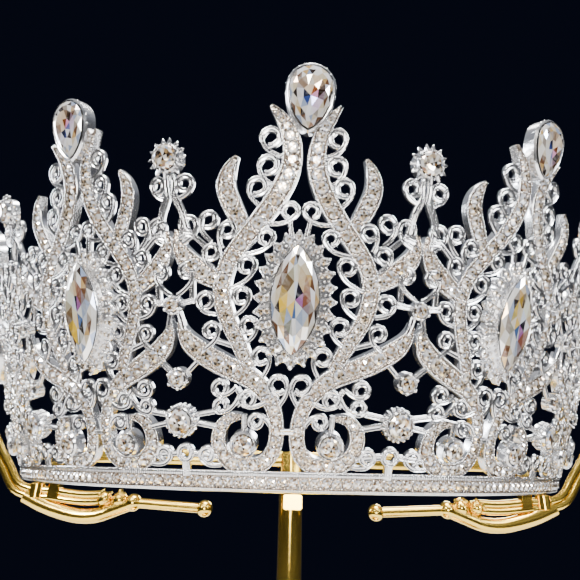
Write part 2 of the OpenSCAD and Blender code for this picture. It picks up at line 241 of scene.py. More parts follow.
class Wall:
    """Places on the crown's leaning wall, by motif number, share of the half pitch and slant."""

    def __init__(self, scene):
        self.s = scene.crown_sizes
        self.g = scene.stone_sizes
        self.base = scene.stand_sizes.stand_h
        self.back = SET_BACK * self.s.crown_r
        self.lean_out = self.s.flare
        self.pitch = self.s.motif_pitch
        self.slant = self.s.crown_h / math.cos(self.lean_out)

    def radius(self, t):
        return self.s.crown_r + t * math.sin(self.lean_out)

    def half_arc(self, t):
        return self.radius(t) * self.pitch / 2

    def up(self, share):
        return share / 100 * self.slant

    def across(self, u, t):
        return u / 100 * self.half_arc(t)

    def spot(self, side, u, share):
        t = self.up(share)
        return side * self.across(u, t), t

    def hand(self, m, t):
        low, middle, high = (between(m, [(row[0], row[c]) for row in HAND]) for c in (1, 2, 3))
        share = between(100 * t / self.slant, list(zip(HAND_LEVELS, (low, middle, high))))
        return self.pitch / 100 * share

    def turn(self, m, x, t):
        return m * self.pitch + x / self.radius(t) + self.hand(m + x / self.half_arc(t) / 2, t)

    def point(self, m, x, t, off=0.0):
        a = self.turn(m, x, t)
        r = self.radius(t) + off * math.cos(self.lean_out)
        z = t * math.cos(self.lean_out) - off * math.sin(self.lean_out)
        return Vector((r * math.sin(a), self.back - r * math.cos(a), z + self.base))

    def out(self, m, x, t):
        a = self.turn(m, x, t)
        c = math.cos(self.lean_out)
        return Vector((c * math.sin(a), -c * math.cos(a), -math.sin(self.lean_out)))

    def seat(self, m, x, t, off=0.0, spin=0.0):
        """A frame on the wall: X along the face, Y up the slant, Z out of it."""
        a = self.turn(m, x, t)
        step = 2 * MM
        drift = self.turn(m, x, t + step) - self.turn(m, x, t - step)
        lean = -math.atan(drift * self.radius(t) / (2 * step))
        turned = (
            Matrix.Rotation(a, 4, "Z")
            @ Matrix.Rotation(math.pi / 2 + self.lean_out, 4, "X")
            @ Matrix.Rotation(lean + spin, 4, "Z")
        )
        return Matrix.Translation(self.point(m, x, t, off)) @ turned


def between(x, table):
    """Linear look-up in a table of pairs, held level past its ends."""
    if x <= table[0][0]:
        return table[0][1]
    for (x0, y0), (x1, y1) in zip(table, table[1:]):
        if x <= x1:
            return y0 + (y1 - y0) * (x - x0) / (x1 - x0)
    return table[-1][1]


def flow(rows, step):
    """A smooth run of rows through the given ones, about one step apart."""
    rows = [Vector(row) for row in rows]
    ends = [2 * rows[0] - rows[1]] + rows + [2 * rows[-1] - rows[-2]]
    made = []
    for a, b, c, d in zip(ends, ends[1:], ends[2:], ends[3:]):
        n = max(1, round((c - b).xy.length / step))
        for i in range(n):
            s = i / n
            made.append(0.5 * (
                2 * b + (c - a) * s + (2 * a - 5 * b + 4 * c - d) * s**2 + (3 * b - a - 3 * c + d) * s**3
            ))
    return made + [rows[-1]]


def ribbon_rows(wall, side, table):
    return [Vector((*wall.spot(side, u, t), w / 100 * wall.s.ribbon_w)) for u, t, w in table]


CURL_LEAD, CURL_BOW, CURL_ROUND = math.radians(38), math.radians(22), math.radians(300)
# Share of the wire's width at a curl's points
CURL_SWELL = ((0, 0.58), (5, 0.62), (9, 0.78), (14, 0.82), (18, 0.78), (21, 0.66))


def curl_points(wall, side, row):
    """A wire that leaves its root in a bow and curls round an eye."""
    root = Vector(wall.spot(side, row[0], row[1]))
    eye = Vector(wall.spot(side, row[2], row[3]))
    r = row[4] / 100 * wall.s.curl_r
    turn = side * row[5]
    v = root - eye
    first = math.atan2(v.y, v.x) + turn * (math.acos(min(r / v.length, 0.99)) + CURL_LEAD)

    def circle(a, q):
        return eye + q * Vector((math.cos(a), math.sin(a)))

    start = circle(first, r)
    ahead = turn * Vector((-math.sin(first), math.cos(first)))
    chord = start - root
    bow = Matrix.Rotation(-turn * CURL_BOW, 2) @ chord
    points = []
    for i in range(6):
        s, t = i / 6, 1 - i / 6
        points.append(t**3 * root + 3 * t * t * s * (root + 0.36 * bow)
                      + 3 * t * s * s * (start - 0.42 * chord.length * ahead) + s**3 * start)
    steps = 15
    for i in range(steps + 1):
        share = i / steps
        points.append(circle(first + turn * CURL_ROUND * share, r * (1 - 0.1 * share)))
    return points, [between(i, CURL_SWELL) for i in range(len(points))]


# Mesh building

FLOW_STEP = 0.9 * MM  # between the rows of a ribbon or the points of a bent wire
# the stones' tints are their painted facet light
FACET_LIGHT_DEPTH = 2.2  # power that deepens the stones' tints


class Shape:
    """Gathers skins, and the marks and painted facet light that the materials read, for one mesh."""

    def __init__(self):
        self.verts = []
        self.faces = []
        self.marks = {"run": [], "rim": []}
        self.painted_facet_light = {}

    def skin(self, loops, runs=None, rims=None):
        """Joins equal loops of points, each closed round, into one skin with closed ends."""
        base, n = len(self.verts), len(loops[0])
        for i, loop in enumerate(loops):
            self.verts.extend(loop)
            self.marks["run"].extend([runs[i] if runs else 0.0] * n)
            self.marks["rim"].extend(rims if rims else [0.0] * n)
        for i in range(len(loops) - 1):
            a, b = base + i * n, base + (i + 1) * n
            self.faces.extend((a + j, a + (j + 1) % n, b + (j + 1) % n, b + j) for j in range(n))
        last = base + (len(loops) - 1) * n
        self.faces += [tuple(base + j for j in reversed(range(n))), tuple(last + j for j in range(n))]

    def face(self, points, tint=None):
        base = len(self.verts)
        self.verts.extend(points)
        self.marks["run"].extend([0.0] * len(points))
        self.marks["rim"].extend([0.0] * len(points))
        if tint is not None:
            self.painted_facet_light[len(self.faces)] = tint
        self.faces.append(tuple(range(base, base + len(points))))

    def mesh(self, name, merge=False, smooth=None):
        data = bpy.data.meshes.new(name)
        data.from_pydata(self.verts, [], self.faces)
        for key, values in self.marks.items():
            put_values(data, key, values)
        if self.painted_facet_light:
            # painted facet light of the stones, one colour per face, in the attribute tint
            layer = data.attributes.new("tint", "FLOAT_COLOR", "CORNER")
            for polygon in data.polygons:
                shade = self.painted_facet_light.get(polygon.index, (1, 1, 1))
                for corner in polygon.loop_indices:
                    layer.data[corner].color = (*(c**FACET_LIGHT_DEPTH for c in shade), 1)
        work = bmesh.new()
        work.from_mesh(data)
        if merge:
            bmesh.ops.remove_doubles(work, verts=work.verts, dist=0.004 * MM)
        bmesh.ops.recalc_face_normals(work, faces=work.faces)
        work.to_mesh(data)
        work.free()
        if smooth is not None:
            data.shade_smooth()
            data.set_sharp_from_angle(angle=math.radians(smooth))
        return data


def outline_round(d, n, turn=0.0):
    angles = [turn + 2 * math.pi * i / n for i in range(n)]
    return [Vector((d / 2 * math.cos(a), d / 2 * math.sin(a))) for a in angles]


def outline_navette(long, wide, n):
    made = []
    for i in range(n):
        a = 2 * math.pi * i / n
        c = math.cos(a)
        made.append(Vector((wide / 2 * math.copysign(abs(c) ** 1.6, c), long / 2 * math.sin(a))))
    return made


def outline_pear(long, wide, n):
    made = []
    for i in range(n):
        a = 2 * math.pi * i / n
        c, s = math.cos(a), math.sin(a)
        if s >= 0:
            made.append(Vector((wide / 2 * c, long / 2 - wide / 2 + wide / 2 * s)))
        else:
            made.append(Vector((
                wide / 2 * math.copysign(abs(c) ** 1.4, c), long / 2 - wide / 2 + (long - wide / 2) * s
            )))
    return made


def widened(outline, by):
    return [p * (1 + by / p.length) for p in outline]


def lifted(outline, z, seat=None, scale=1.0):
    points = [Vector((p.x * scale, p.y * scale, z)) for p in outline]
    return [seat @ p for p in points] if seat else points


def sweep(shape, wall, m, rows, section):
    """Runs a section along rows of x, t and width on the wall."""
    loops, runs, run = [], [], 0.0
    for i, row in enumerate(rows):
        before, after = rows[max(i - 1, 0)], rows[min(i + 1, len(rows) - 1)]
        way = (after - before).xy.normalized()
        side = Vector((-way.y, way.x))
        if i:
            run += (row - rows[i - 1]).xy.length
        edges = [(s * row.z / 2, off * MM) for s, off in section]
        loops.append([wall.point(m, row.x + side.x * w, row.y + side.y * w, off) for w, off in edges])
        runs.append(run)
    shape.skin(loops, runs, [abs(s) for s, off in section])


# A ribbon's section with its raised rims: share of the half width, and mm out of the wall
RIBBON_SECTION = (
    (-1, -2.0), (-1, -0.12), (-0.94, 0), (-0.82, 0), (-0.76, -0.38), (0.76, -0.38), (0.82, 0), (0.94, 0),
    (1, -0.12), (1, -2.0),
)


def link_piece(scene, name, data, material, replaces=()):
    """Puts a finished mesh in the scene, on the crown's one body."""
    data.name = name
    data.materials.clear()
    data.materials.append(material)
    piece = bpy.data.objects.new(name, data)
    scene.collection.objects.link(piece)
    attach(piece, "root")
    if replaces:
        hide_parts(*replaces)
    return piece


# Geometry nodes

SOCKETS = {
    "int": "NodeSocketInt", "bool": "NodeSocketBool", "object": "NodeSocketObject",
    "material": "NodeSocketMaterial",
}


class Nodes:
    """Makes and links the nodes of one tree."""

    def __init__(self, tree):
        self.tree = tree

    def node(self, kind, links=(), **settings):
        made = self.tree.nodes.new(kind)
        for key, value in settings.items():
            setattr(made, key, value)
        for key, value in links:
            target = made.inputs[key]
            if isinstance(value, bpy.types.NodeSocket):
                self.tree.links.new(value, target)
            else:
                target.default_value = value
        return made


class Tree(Nodes):
    """A geometry node tree with named inputs."""

    def __init__(self, name):
        super().__init__(bpy.data.node_groups.new(name, "GeometryNodeTree"))
        for way in ("INPUT", "OUTPUT"):
            self.tree.interface.new_socket("Geometry", in_out=way, socket_type="NodeSocketGeometry")
        self.source = self.tree.nodes.new("NodeGroupInput")
        self.sink = self.tree.nodes.new("NodeGroupOutput")

    def socket(self, name, kind, value=None):
        item = self.tree.interface.new_socket(name, in_out="INPUT", socket_type=SOCKETS[kind])
        if value is not None:
            item.default_value = value
        return self.source.outputs[name]

    def attribute(self, name, kind):
        made = self.node("GeometryNodeInputNamedAttribute", [("Name", name)], data_type=kind)
        return made.outputs["Attribute"]

    def store(self, geometry, name, value, domain):
        return self.node("GeometryNodeStoreNamedAttribute", [
            ("Geometry", geometry), ("Name", name), ("Value", value),
        ], data_type="FLOAT", domain=domain).outputs[0]

    def finish(self, geometry, material, smooth):
        real = self.node("GeometryNodeRealizeInstances", [("Geometry", geometry)])
        shade = self.node("GeometryNodeSetShadeSmooth", [
            ("Geometry", real.outputs[0]), ("Shade Smooth", smooth),
        ])
        coat = self.node("GeometryNodeSetMaterial", [("Geometry", shade.outputs[0]), ("Material", material)])
        self.tree.links.new(coat.outputs[0], self.sink.inputs["Geometry"])


def repeat_tree():
    """Sets a copy of one small shape on every point, by the point's own turn and size."""
    name = "Repeat on points"
    if name in bpy.data.node_groups:
        return bpy.data.node_groups[name]
    tree = Tree(name)
    part = tree.socket("Shape", "object")
    material = tree.socket("Material", "material")
    seed = tree.socket("Seed", "int", 7)
    smooth = tree.socket("Smooth", "bool", False)
    info = tree.node("GeometryNodeObjectInfo", [("Object", part)])
    turn = tree.node("FunctionNodeEulerToRotation", [("Euler", tree.attribute("turn", "FLOAT_VECTOR"))])
    placed = tree.node("GeometryNodeInstanceOnPoints", [
        ("Points", tree.source.outputs["Geometry"]), ("Instance", info.outputs["Geometry"]),
        ("Rotation", turn.outputs[0]), ("Scale", tree.attribute("size", "FLOAT")),
    ])
    chance = tree.node("FunctionNodeRandomValue", [("Seed", seed)], data_type="FLOAT")
    kept = tree.store(placed.outputs[0], "twinkle", chance.outputs[1], "INSTANCE")
    tree.finish(kept, material, smooth)
    return tree.tree


def wire_tree():
    """Draws a wire of one section along every run of edges, its face turned to the point's own out."""
    name = "Wire on the wall"
    if name in bpy.data.node_groups:
        return bpy.data.node_groups[name]
    tree = Tree(name)
    part = tree.socket("Shape", "object")
    material = tree.socket("Material", "material")
    info = tree.node("GeometryNodeObjectInfo", [("Object", part)])
    section = tree.node("GeometryNodeMeshToCurve", [("Mesh", info.outputs["Geometry"])])
    path = tree.node("GeometryNodeMeshToCurve", [("Mesh", tree.source.outputs["Geometry"])])
    width = tree.attribute("width", "FLOAT")
    turned = tree.node("GeometryNodeSetCurveNormal", [
        ("Curve", path.outputs[0]), ("Normal", tree.attribute("out", "FLOAT_VECTOR")),
    ], mode="FREE")
    along = tree.node("GeometryNodeSplineParameter")
    kept = tree.store(turned.outputs[0], "run", along.outputs["Length"], "POINT")
    drawn = tree.node("GeometryNodeCurveToMesh", [
        ("Curve", kept), ("Profile Curve", section.outputs[0]), ("Scale", width), ("Fill Caps", True),
    ])
    tree.finish(drawn.outputs[0], material, True)
    return tree.tree


def grow(scene, name, seed_mesh, tree, values):
    """Runs a tree on a mesh and keeps the result as a plain piece."""
    holder = bpy.data.objects.new(name + "_source", seed_mesh)
    scene.collection.objects.link(holder)
    modifier = holder.modifiers.new("Nodes", "NODES")
    modifier.node_group = tree
    for item in tree.interface.items_tree:
        if item.in_out == "INPUT" and item.name in values:
            modifier[item.identifier] = values[item.name]
    bpy.context.view_layer.update()
    ready = holder.evaluated_get(bpy.context.evaluated_depsgraph_get())
    data = bpy.data.meshes.new_from_object(ready)
    holder.modifiers.remove(modifier)
    bpy.data.objects.remove(holder)
    return link_piece(scene, name, data, values["Material"])


def put_values(data, name, values, kind="FLOAT", key="value", domain="POINT"):
    data.attributes.new(name, kind, domain).data.foreach_set(key, values)


def repeat(scene, name, seats, part, material, smooth=False, seed=7):
    """Copies a small part to every seat, a pair of a frame and a size."""
    data = bpy.data.meshes.new(name + "_points")
    data.from_pydata([seat.translation for seat, size in seats], [], [])
    turns = [v for seat, size in seats for v in seat.to_euler("XYZ")]
    put_values(data, "turn", turns, "FLOAT_VECTOR", "vector")
    put_values(data, "size", [size for seat, size in seats])
    template = bpy.data.objects.new(name + "_part", part)
    values = {"Shape": template, "Material": material, "Seed": seed, "Smooth": smooth}
    grow(scene, name, data, repeat_tree(), values)
    bpy.data.objects.remove(template)


def small_stones(scene, name, seats, seed):
    repeat(scene, name, seats, brilliant_part(), crystal_small(scene), seed=seed)


def small_metal(scene, name, seats, part):
    repeat(scene, name, seats, part, plated(scene, "Plated grains", 0.1), True)


def draw_wires(scene, name, wall, wires, section, material):
    """Draws wires given as motif number, points on the wall with their widths, and lift."""
    verts, edges, outs, shares = [], [], [], []
    for m, (points, widths), lift in wires:
        base = len(verts)
        shares.extend(widths)
        for p in points:
            verts.append(wall.point(m, p.x, p.y, lift))
            outs.extend(wall.out(m, p.x, p.y))
        edges.extend((base + i, base + i + 1) for i in range(len(points) - 1))
    data = bpy.data.meshes.new(name + "_paths")
    data.from_pydata(verts, edges, [])
    put_values(data, "out", outs, "FLOAT_VECTOR", "vector")
    put_values(data, "width", shares)
    outline = bpy.data.meshes.new(name + "_section")
    n = len(section)
    outline.from_pydata([(a * MM, b * MM, 0) for a, b in section], [(i, (i + 1) % n) for i in range(n)], [])
    widest = max(abs(b) for a, b in section)
    put_values(outline, "rim", [abs(b) / widest for a, b in section])
    template = bpy.data.objects.new(name + "_part", outline)
    grow(scene, name, data, wire_tree(), {"Shape": template, "Material": material})
    bpy.data.objects.remove(template)


# Finishes

class Shading(Nodes):
    """Nodes of one material or node group."""

    def math(self, operation, a, b=0.0, c=0.0):
        return self.node("ShaderNodeMath", [(0, a), (1, b), (2, c)], operation=operation).outputs[0]

    def share(self, value, start, gain):
        """How far a value is past its start, times the gain, held between none and all."""
        rise = self.math("MULTIPLY", self.math("SUBTRACT", value, start), gain)
        return self.node("ShaderNodeClamp", [(0, rise)]).outputs[0]

    def ramp(self, value, stops, smooth=True):
        made = self.node("ShaderNodeValToRGB", [(0, value)])
        band = made.color_ramp
        band.interpolation = "EASE" if smooth else "CONSTANT"
        while len(band.elements) < len(stops):
            band.elements.new(0.5)
        for element, (place, colour) in zip(band.elements, stops):
            element.position = place
            element.color = (*colour, 1)
        return made.outputs["Color"]

    def mix(self, share, a, b):
        return self.node("ShaderNodeMix", [(0, share), (6, a), (7, b)], data_type="RGBA").outputs[2]

    def place(self, system="Object"):
        return self.node("ShaderNodeTexCoord").outputs[system]

    def noise(self, scale, detail, distortion=0.0):
        links = [("Vector", self.place()), ("Scale", scale), ("Detail", detail), ("Distortion", distortion)]
        return self.node("ShaderNodeTexNoise", links).outputs["Fac"]

    def mark(self, name, output="Fac"):
        return self.node("ShaderNodeAttribute", attribute_name=name).outputs[output]

    def bump(self, strength, distance, height):
        links = [("Strength", strength), ("Distance", distance), ("Height", height)]
        return self.node("ShaderNodeBump", links).outputs[0]

    def feed(self, node, values):
        for name, value in values.items():
            self.tree.links.new(value, node.inputs[name])


def group_of(name, inputs, outputs):
    group = bpy.data.node_groups.new(name, "ShaderNodeTree")
    for label, value in inputs:
        group.interface.new_socket(label, in_out="INPUT", socket_type="NodeSocketFloat").default_value = value
    for label in outputs:
        group.interface.new_socket(label, in_out="OUTPUT", socket_type="NodeSocketFloat")
    s = Shading(group)
    return s, s.node("NodeGroupInput").outputs, s.node("NodeGroupOutput")


def cast_grain():
    """Fine unevenness of cast and plated metal, with thin rubbed patches."""
    name = "Cast grain"
    if name in bpy.data.node_groups:
        return bpy.data.node_groups[name]
    s, given, put = group_of(name, [("Scale", 900.0), ("Depth", 0.5)], ["Height", "Patch"])
    height = s.math("MULTIPLY", s.noise(given["Scale"], 3.0), given["Depth"])
    s.feed(put, {"Height": height, "Patch": s.noise(90.0, 2.0)})
    return s.tree


def beading():
    """A row of beads along a wire or rim, by the length run and the place across it."""
    name = "Beading"
    if name in bpy.data.node_groups:
        return bpy.data.node_groups[name]
    inputs = [("Run", 0.0), ("Rim", 0.0), ("Pitch", 0.0006), ("Place", 0.0), ("Reach", 0.4)]
    s, given, put = group_of(name, inputs, ["Height"])
    step = s.math("FRACT", s.math("DIVIDE", given["Run"], given["Pitch"]))
    along = s.math("SUBTRACT", s.math("MULTIPLY", step, 2.0), 1.0)
    across = s.math("DIVIDE", s.math("SUBTRACT", given["Rim"], given["Place"]), given["Reach"])
    spread = s.math("ADD", s.math("MULTIPLY", along, along), s.math("MULTIPLY", across, across))
    dome = s.math("SQRT", s.math("MAXIMUM", s.math("SUBTRACT", 1.0, spread), 0.0))
    s.feed(put, {"Height": dome})
    return s.tree


def paint(name, constants):
    """A new material of one shader, with the constants on the shader's own sockets."""
    material = bpy.data.materials.new(name)
    material.use_nodes = True
    s = Shading(material.node_tree)
    s.tree.nodes.clear()
    body = s.node("ShaderNodeBsdfPrincipled", constants.items())
    s.node("ShaderNodeOutputMaterial", [("Surface", body.outputs[0])])
    return material, s, body


def toned(colour, by):
    return tuple(c * k for c, k in zip(colour, by))


# Painted shade: warm dark colour mixed into a ribbon's recessed floor between its stones
PAINTED_CHANNEL_SHADE = (0.42, 0.34, 0.26, 1)  # warm shade between the stones of a ribbon
CHANNEL_EDGE = 0.77  # share of a ribbon's half width where its rim starts


def metal_grain(s, scale, depth):
    return s.node("ShaderNodeGroup", [("Scale", scale), ("Depth", depth)], node_tree=cast_grain()).outputs


def plated(scene, name, rough, place=None, reach=0.4, pitch=0.6, floor=False):
    """Bright silver-toned plating, with beads along it where a place across it is given."""
    if name in bpy.data.materials:
        return bpy.data.materials[name]
    plating = scene.finishes.plating
    material, s, body = paint(name, {"Metallic": 1.0})
    grain = metal_grain(s, 1500.0, 0.35)
    height = grain["Height"]
    dull = toned(plating, (0.62, 0.6, 0.58))
    colour = s.mix(s.share(grain["Patch"], 0.35, 1.6), (*plating, 1), (*dull, 1))
    if place is not None:
        row = s.node("ShaderNodeGroup", [
            ("Run", s.mark("run")), ("Rim", s.mark("rim")), ("Pitch", pitch * MM), ("Place", place),
            ("Reach", reach),
        ], node_tree=beading())
        height = s.math("ADD", height, s.math("MULTIPLY", row.outputs["Height"], 2.2))
    if floor:
        cells = s.node("ShaderNodeTexVoronoi", [("Vector", s.place()), ("Scale", 1900.0)])
        inside = s.math("LESS_THAN", s.mark("rim"), CHANNEL_EDGE)
        pits = s.math("MULTIPLY", cells.outputs["Distance"], s.math("MULTIPLY", inside, 3.0))
        height = s.math("SUBTRACT", height, pits)
        # painted shade: the recessed floor inside the rims is mixed towards a warm dark colour
        colour = s.mix(s.math("MULTIPLY", inside, 0.85), colour, PAINTED_CHANNEL_SHADE)
    s.feed(body, {
        "Base Color": colour, "Normal": s.bump(0.7, 0.12 * MM, height),
        "Roughness": s.math("MULTIPLY_ADD", grain["Patch"], 0.16, rough),
    })
    return material


def crystal_small(scene):
    """Foiled small stones: each facet gets painted shade, a honey painted reflection or a painted glint by
    its own mark and the stone's chance.
    """
    name = "Small crystal"
    if name in bpy.data.materials:
        return bpy.data.materials[name]
    light, dark = scene.finishes.crystal, scene.finishes.shade
    material, s, body = paint(name, {
        "Metallic": 0.7, "Roughness": 0.08, "IOR": 1.7, "Coat Weight": 0.15, "Coat Roughness": 0.02,
    })
    # painted facet light: the ramp turns each facet's mark into painted shade, reflection or glint
    value = s.math("MULTIPLY_ADD", s.mark("twinkle"), 0.36, s.mark("facet"))
    stops = (
        (0.0, dark), (0.13, toned(light, (0.36, 0.28, 0.2))), (0.26, toned(light, (0.56, 0.42, 0.26))),
        (0.4, toned(light, (0.8, 0.68, 0.52))), (0.54, light), (0.68, toned(light, (0.7, 0.78, 0.95))),
        (0.78, (1, 1, 1)), (0.92, toned(light, (0.36, 0.26, 0.18))),
    )
    s.feed(body, {"Base Color": s.ramp(value, stops, smooth=False)})
    return material


def crystal_large(scene):
    """Foiled main stones, whose facets carry painted reflections and painted shade as their colours."""
    name = "Large crystal"
    if name in bpy.data.materials:
        return bpy.data.materials[name]
    material, s, body = paint(name, {
        "Metallic": 0.6, "Roughness": 0.06, "IOR": 1.7, "Coat Weight": 0.25, "Coat Roughness": 0.01,
    })
    # painted glint: noise patches mixed towards the bright facet colour
    bright_patch = s.share(s.noise(420.0, 2.0, 1.2), 0.5, 0.9)
    s.feed(body, {"Base Color": s.mix(bright_patch, s.mark("tint", "Color"), (*scene.finishes.crystal, 1))})
    return material


def gilt(scene, name, rough):
    """Gold plating over castings and tubes."""
    if name in bpy.data.materials:
        return bpy.data.materials[name]
    gold = scene.finishes.gilt
    material, s, body = paint(name, {"Metallic": 1.0})
    grain = metal_grain(s, 700.0, 0.4)
    deep = toned(gold, (0.9, 0.8, 0.55))
    s.feed(body, {
        "Base Color": s.mix(s.share(grain["Patch"], 0.38, 1.5), (*gold, 1), (*deep, 1)),
        "Normal": s.bump(0.3, 0.1 * MM, grain["Height"]),
        "Roughness": s.math("MULTIPLY_ADD", grain["Patch"], 0.14, rough),
    })
    return material


# Small parts that are repeated

def bead_part():
    data = bpy.data.meshes.new("bead")
    work = bmesh.new()
    bmesh.ops.create_icosphere(work, subdivisions=1, radius=0.5)
    work.to_mesh(data)
    work.free()
    return data


# Marks of the facets round a small stone's table, by which they get painted shade, a honey painted reflection
# or a painted glint
STAR_MARKS = (-0.12, 0.34, 0.04, 0.5, -0.08, 0.16, 0.42, 0.06)
SIDE_MARK, BACK_MARK = 0.62, 0.9
# Stations of a leaf claw: place along it, half width, underside and ridge
CLAW_STATIONS = (
    (0, 0.2, 0.1, 0.62), (0.3, 0.3, 0, 0.5), (0.62, 0.26, 0, 0.36), (0.9, 0.12, 0, 0.26),
    (1.0, 0.04, 0, 0.18),
)
# Widths and levels of a round claw
PRONG_STATIONS = ((0.8, -1.2), (0.8, 0.1), (1.0, 0.35), (0.75, 0.75), (0.25, 0.92))


def brilliant_part():
    """A round stone one unit across, its girdle at zero: a starred table and two rows of facets."""
    data = bpy.data.meshes.new("brilliant")
    n = len(STAR_MARKS)
    girdle = lifted(outline_round(1.0, n), 0)
    table = lifted(outline_round(0.6, n, math.pi / n), 0.2)
    foot = lifted(outline_round(0.9, n), -0.12)
    verts = girdle + table + foot + [Vector((0, 0, 0.2))]
    faces, facets = [], []
    for i, star in enumerate(STAR_MARKS):
        k = (i + 1) % n
        faces += [(i, k, n + i), (k, n + k, n + i), (n + i, n + k, 3 * n), (2 * n + i, 2 * n + k, k, i)]
        facets += [0.5 + 0.16 * (i % 2), 0.3 + 0.36 * (i % 3 == 1), star, SIDE_MARK]
    faces.append(tuple(reversed(range(2 * n, 3 * n))))
    facets.append(BACK_MARK)
    data.from_pydata(verts, [], faces)
    put_values(data, "facet", facets, domain="FACE")
    return data


def claw_part():
    """A leaf claw one unit long, lying outwards along X and bent up over the stone at its root."""
    shape, loops = Shape(), []
    for x, half, low, high in CLAW_STATIONS:
        side, shoulder = half * 0.7, high * 0.8
        section = ((-half, low), (-side, shoulder), (0, high), (side, shoulder), (half, low))
        loops.append([Vector((x, y, z)) for y, z in section])
    shape.skin(loops)
    return shape.mesh("claw", smooth=40)


def prong_part():
    """A round claw one unit across that stands on its foot."""
    shape = Shape()
    shape.skin([lifted(outline_round(d, 6), z) for d, z in PRONG_STATIONS])
    return shape.mesh("prong", smooth=60)


# Stones

# Painted reflections and painted shade as facet colours, from the right-hand end of a main stone, turning to
# the left: those round its middle, then those by the edge of its table
NAVETTE_TABLE = (
    ((0.16, 0.15, 0.2), (0.86, 0.9, 0.97), (0.93, 0.89, 0.76), (0.92, 0.84, 0.7),
     (0.95, 0.8, 0.42), (0.3, 0.4, 0.58), (0.88, 0.89, 0.87), (0.6, 0.38, 0.6)),
    ((0.5, 0.32, 0.26), (0.82, 0.72, 0.56), (0.92, 0.94, 0.86), (0.44, 0.36, 0.26),
     (0.95, 0.78, 0.22), (0.55, 0.56, 0.5), (0.96, 0.96, 0.96), (0.6, 0.66, 0.76)),
)
PEAR_TABLE = (
    ((0.5, 0.28, 0.14), (0.95, 0.84, 0.72), (0.95, 0.86, 0.75), (0.18, 0.2, 0.28),
     (0.22, 0.28, 0.52), (0.92, 0.92, 0.95), (0.4, 0.42, 0.66), (0.93, 0.62, 0.8)),
    ((0.16, 0.1, 0.07), (0.9, 0.8, 0.68), (0.93, 0.84, 0.72), (0.6, 0.5, 0.42),
     (0.88, 0.88, 0.92), (0.96, 0.95, 0.93), (0.96, 0.96, 0.97), (0.86, 0.76, 0.88)),
)
# Painted reflections and painted shade as facet colours of the round stones, in the same order
ROUND_TABLE = (
    ((0.97, 0.94, 0.88), (0.1, 0.08, 0.07), (0.99, 0.98, 0.96), (0.5, 0.38, 0.24),
     (0.06, 0.05, 0.05), (0.93, 0.9, 0.84), (0.24, 0.18, 0.13), (0.99, 0.98, 0.96)),
    ((0.9, 0.84, 0.72), (0.3, 0.24, 0.18), (0.7, 0.58, 0.4), (0.96, 0.95, 0.93),
     (0.14, 0.12, 0.11), (0.5, 0.42, 0.33), (0.97, 0.96, 0.94), (0.66, 0.54, 0.38)),
)
# Painted reflections and painted shade picked at random for the crown facets
PAINTED_RIM_LIGHT = (
    (0.97, 0.96, 0.94), (0.86, 0.8, 0.68), (0.62, 0.58, 0.54), (0.97, 0.97, 1.0), (0.42, 0.3, 0.22),
    (0.93, 0.9, 0.84), (0.6, 0.66, 0.78), (0.99, 0.98, 0.96), (0.78, 0.64, 0.42), (0.24, 0.21, 0.2),
)


# Painted facet light of a stone's back, girdle and culet, and a painted glint on its crown
BACK_TINT, GIRDLE_TINT, CULET_TINT, SPARK_TINT = (
    (0.6, 0.58, 0.56), (0.9, 0.9, 0.9), (0.5, 0.5, 0.5), (0.95, 0.94, 0.92),
)
# Shares of a stone's outline at its foot, the belt of its crown, its table and its star
FOOT_SHARE, BELT_SHARE, TABLE_SHARE, STAR_SHARE = 0.45, 0.86, 0.66, 0.36
# Shares of a stone's height: girdle, belt over the girdle, and the sunk middle of the table
LIP_RISE, BELT_RISE, TABLE_TILT = 0.03, 0.6, 0.05


def cut_stone(shape, outline, seat, low, girdle, high, tables, chance):
    """A cut stone: culet, thin girdle, two rows of crown facets and a table with a star of kites."""
    n = len(outline)
    lip = LIP_RISE * (high - low)
    middle = girdle + BELT_RISE * (high - girdle)
    foot = lifted(outline, low, seat, FOOT_SHARE)
    under = lifted(outline, girdle - lip, seat)
    edge = lifted(outline, girdle, seat)
    halfway = [(outline[i] + outline[(i + 1) % n]) / 2 for i in range(n)]
    belt = lifted(halfway, middle, seat, BELT_SHARE)
    table = lifted(outline, high, seat, TABLE_SHARE)

    def pick():
        return PAINTED_RIM_LIGHT[chance.randrange(len(PAINTED_RIM_LIGHT))]

    for i in range(n):
        k = (i + 1) % n
        shape.face([foot[i], foot[k], under[k], under[i]], BACK_TINT)
        shape.face([under[i], under[k], edge[k], edge[i]], GIRDLE_TINT)
        shape.face([edge[i], edge[k], belt[i]], pick())
        shape.face([edge[k], belt[k], belt[i]], SPARK_TINT if chance.random() < 0.5 else pick())
        shape.face([belt[i], belt[k], table[k]], pick())
        shape.face([belt[i], table[k], table[i]], pick())
    shape.face(list(reversed(foot)), CULET_TINT)
    half = n // 2
    tilt = TABLE_TILT * (high - low)
    heart = seat @ Vector((0, 0, high - tilt))
    star = []
    for j in range(half):
        p = outline[(2 * j + 1) % n] * STAR_SHARE
        star.append(seat @ Vector((p.x, p.y, high - chance.uniform(0, 2 * tilt))))
    for j in range(half):
        k = (j + 1) % half
        inner, outer = (Vector(tables[c][8 * j // half]) for c in (0, 1))
        after = Vector(tables[1][8 * k // half])
        a, b, c = table[2 * j], table[(2 * j + 1) % n], table[(2 * j + 2) % n]
        shape.face([a, b, star[j]], outer.lerp(Vector(pick()), chance.uniform(0.0, 0.3)))
        shape.face([b, c, star[j]], outer.lerp(after, 0.5))
        shape.face([c, star[k], star[j]], after if chance.random() < 0.6 else pick())
        shape.face([star[j], star[k], heart], inner)


def round_stone(shape, seat, d, chance, low):
    """A round cut stone with painted shade as dark star lines round its table."""
    shift = chance.randrange(8)
    tables = [[row[(i + shift) % 8] for i in range(8)] for row in ROUND_TABLE]
    girdle, high = PLATE_TOP + 0.3 * d, PLATE_TOP + 0.44 * d
    cut_stone(shape, outline_round(d, 16), seat, low, girdle, high, tables, chance)


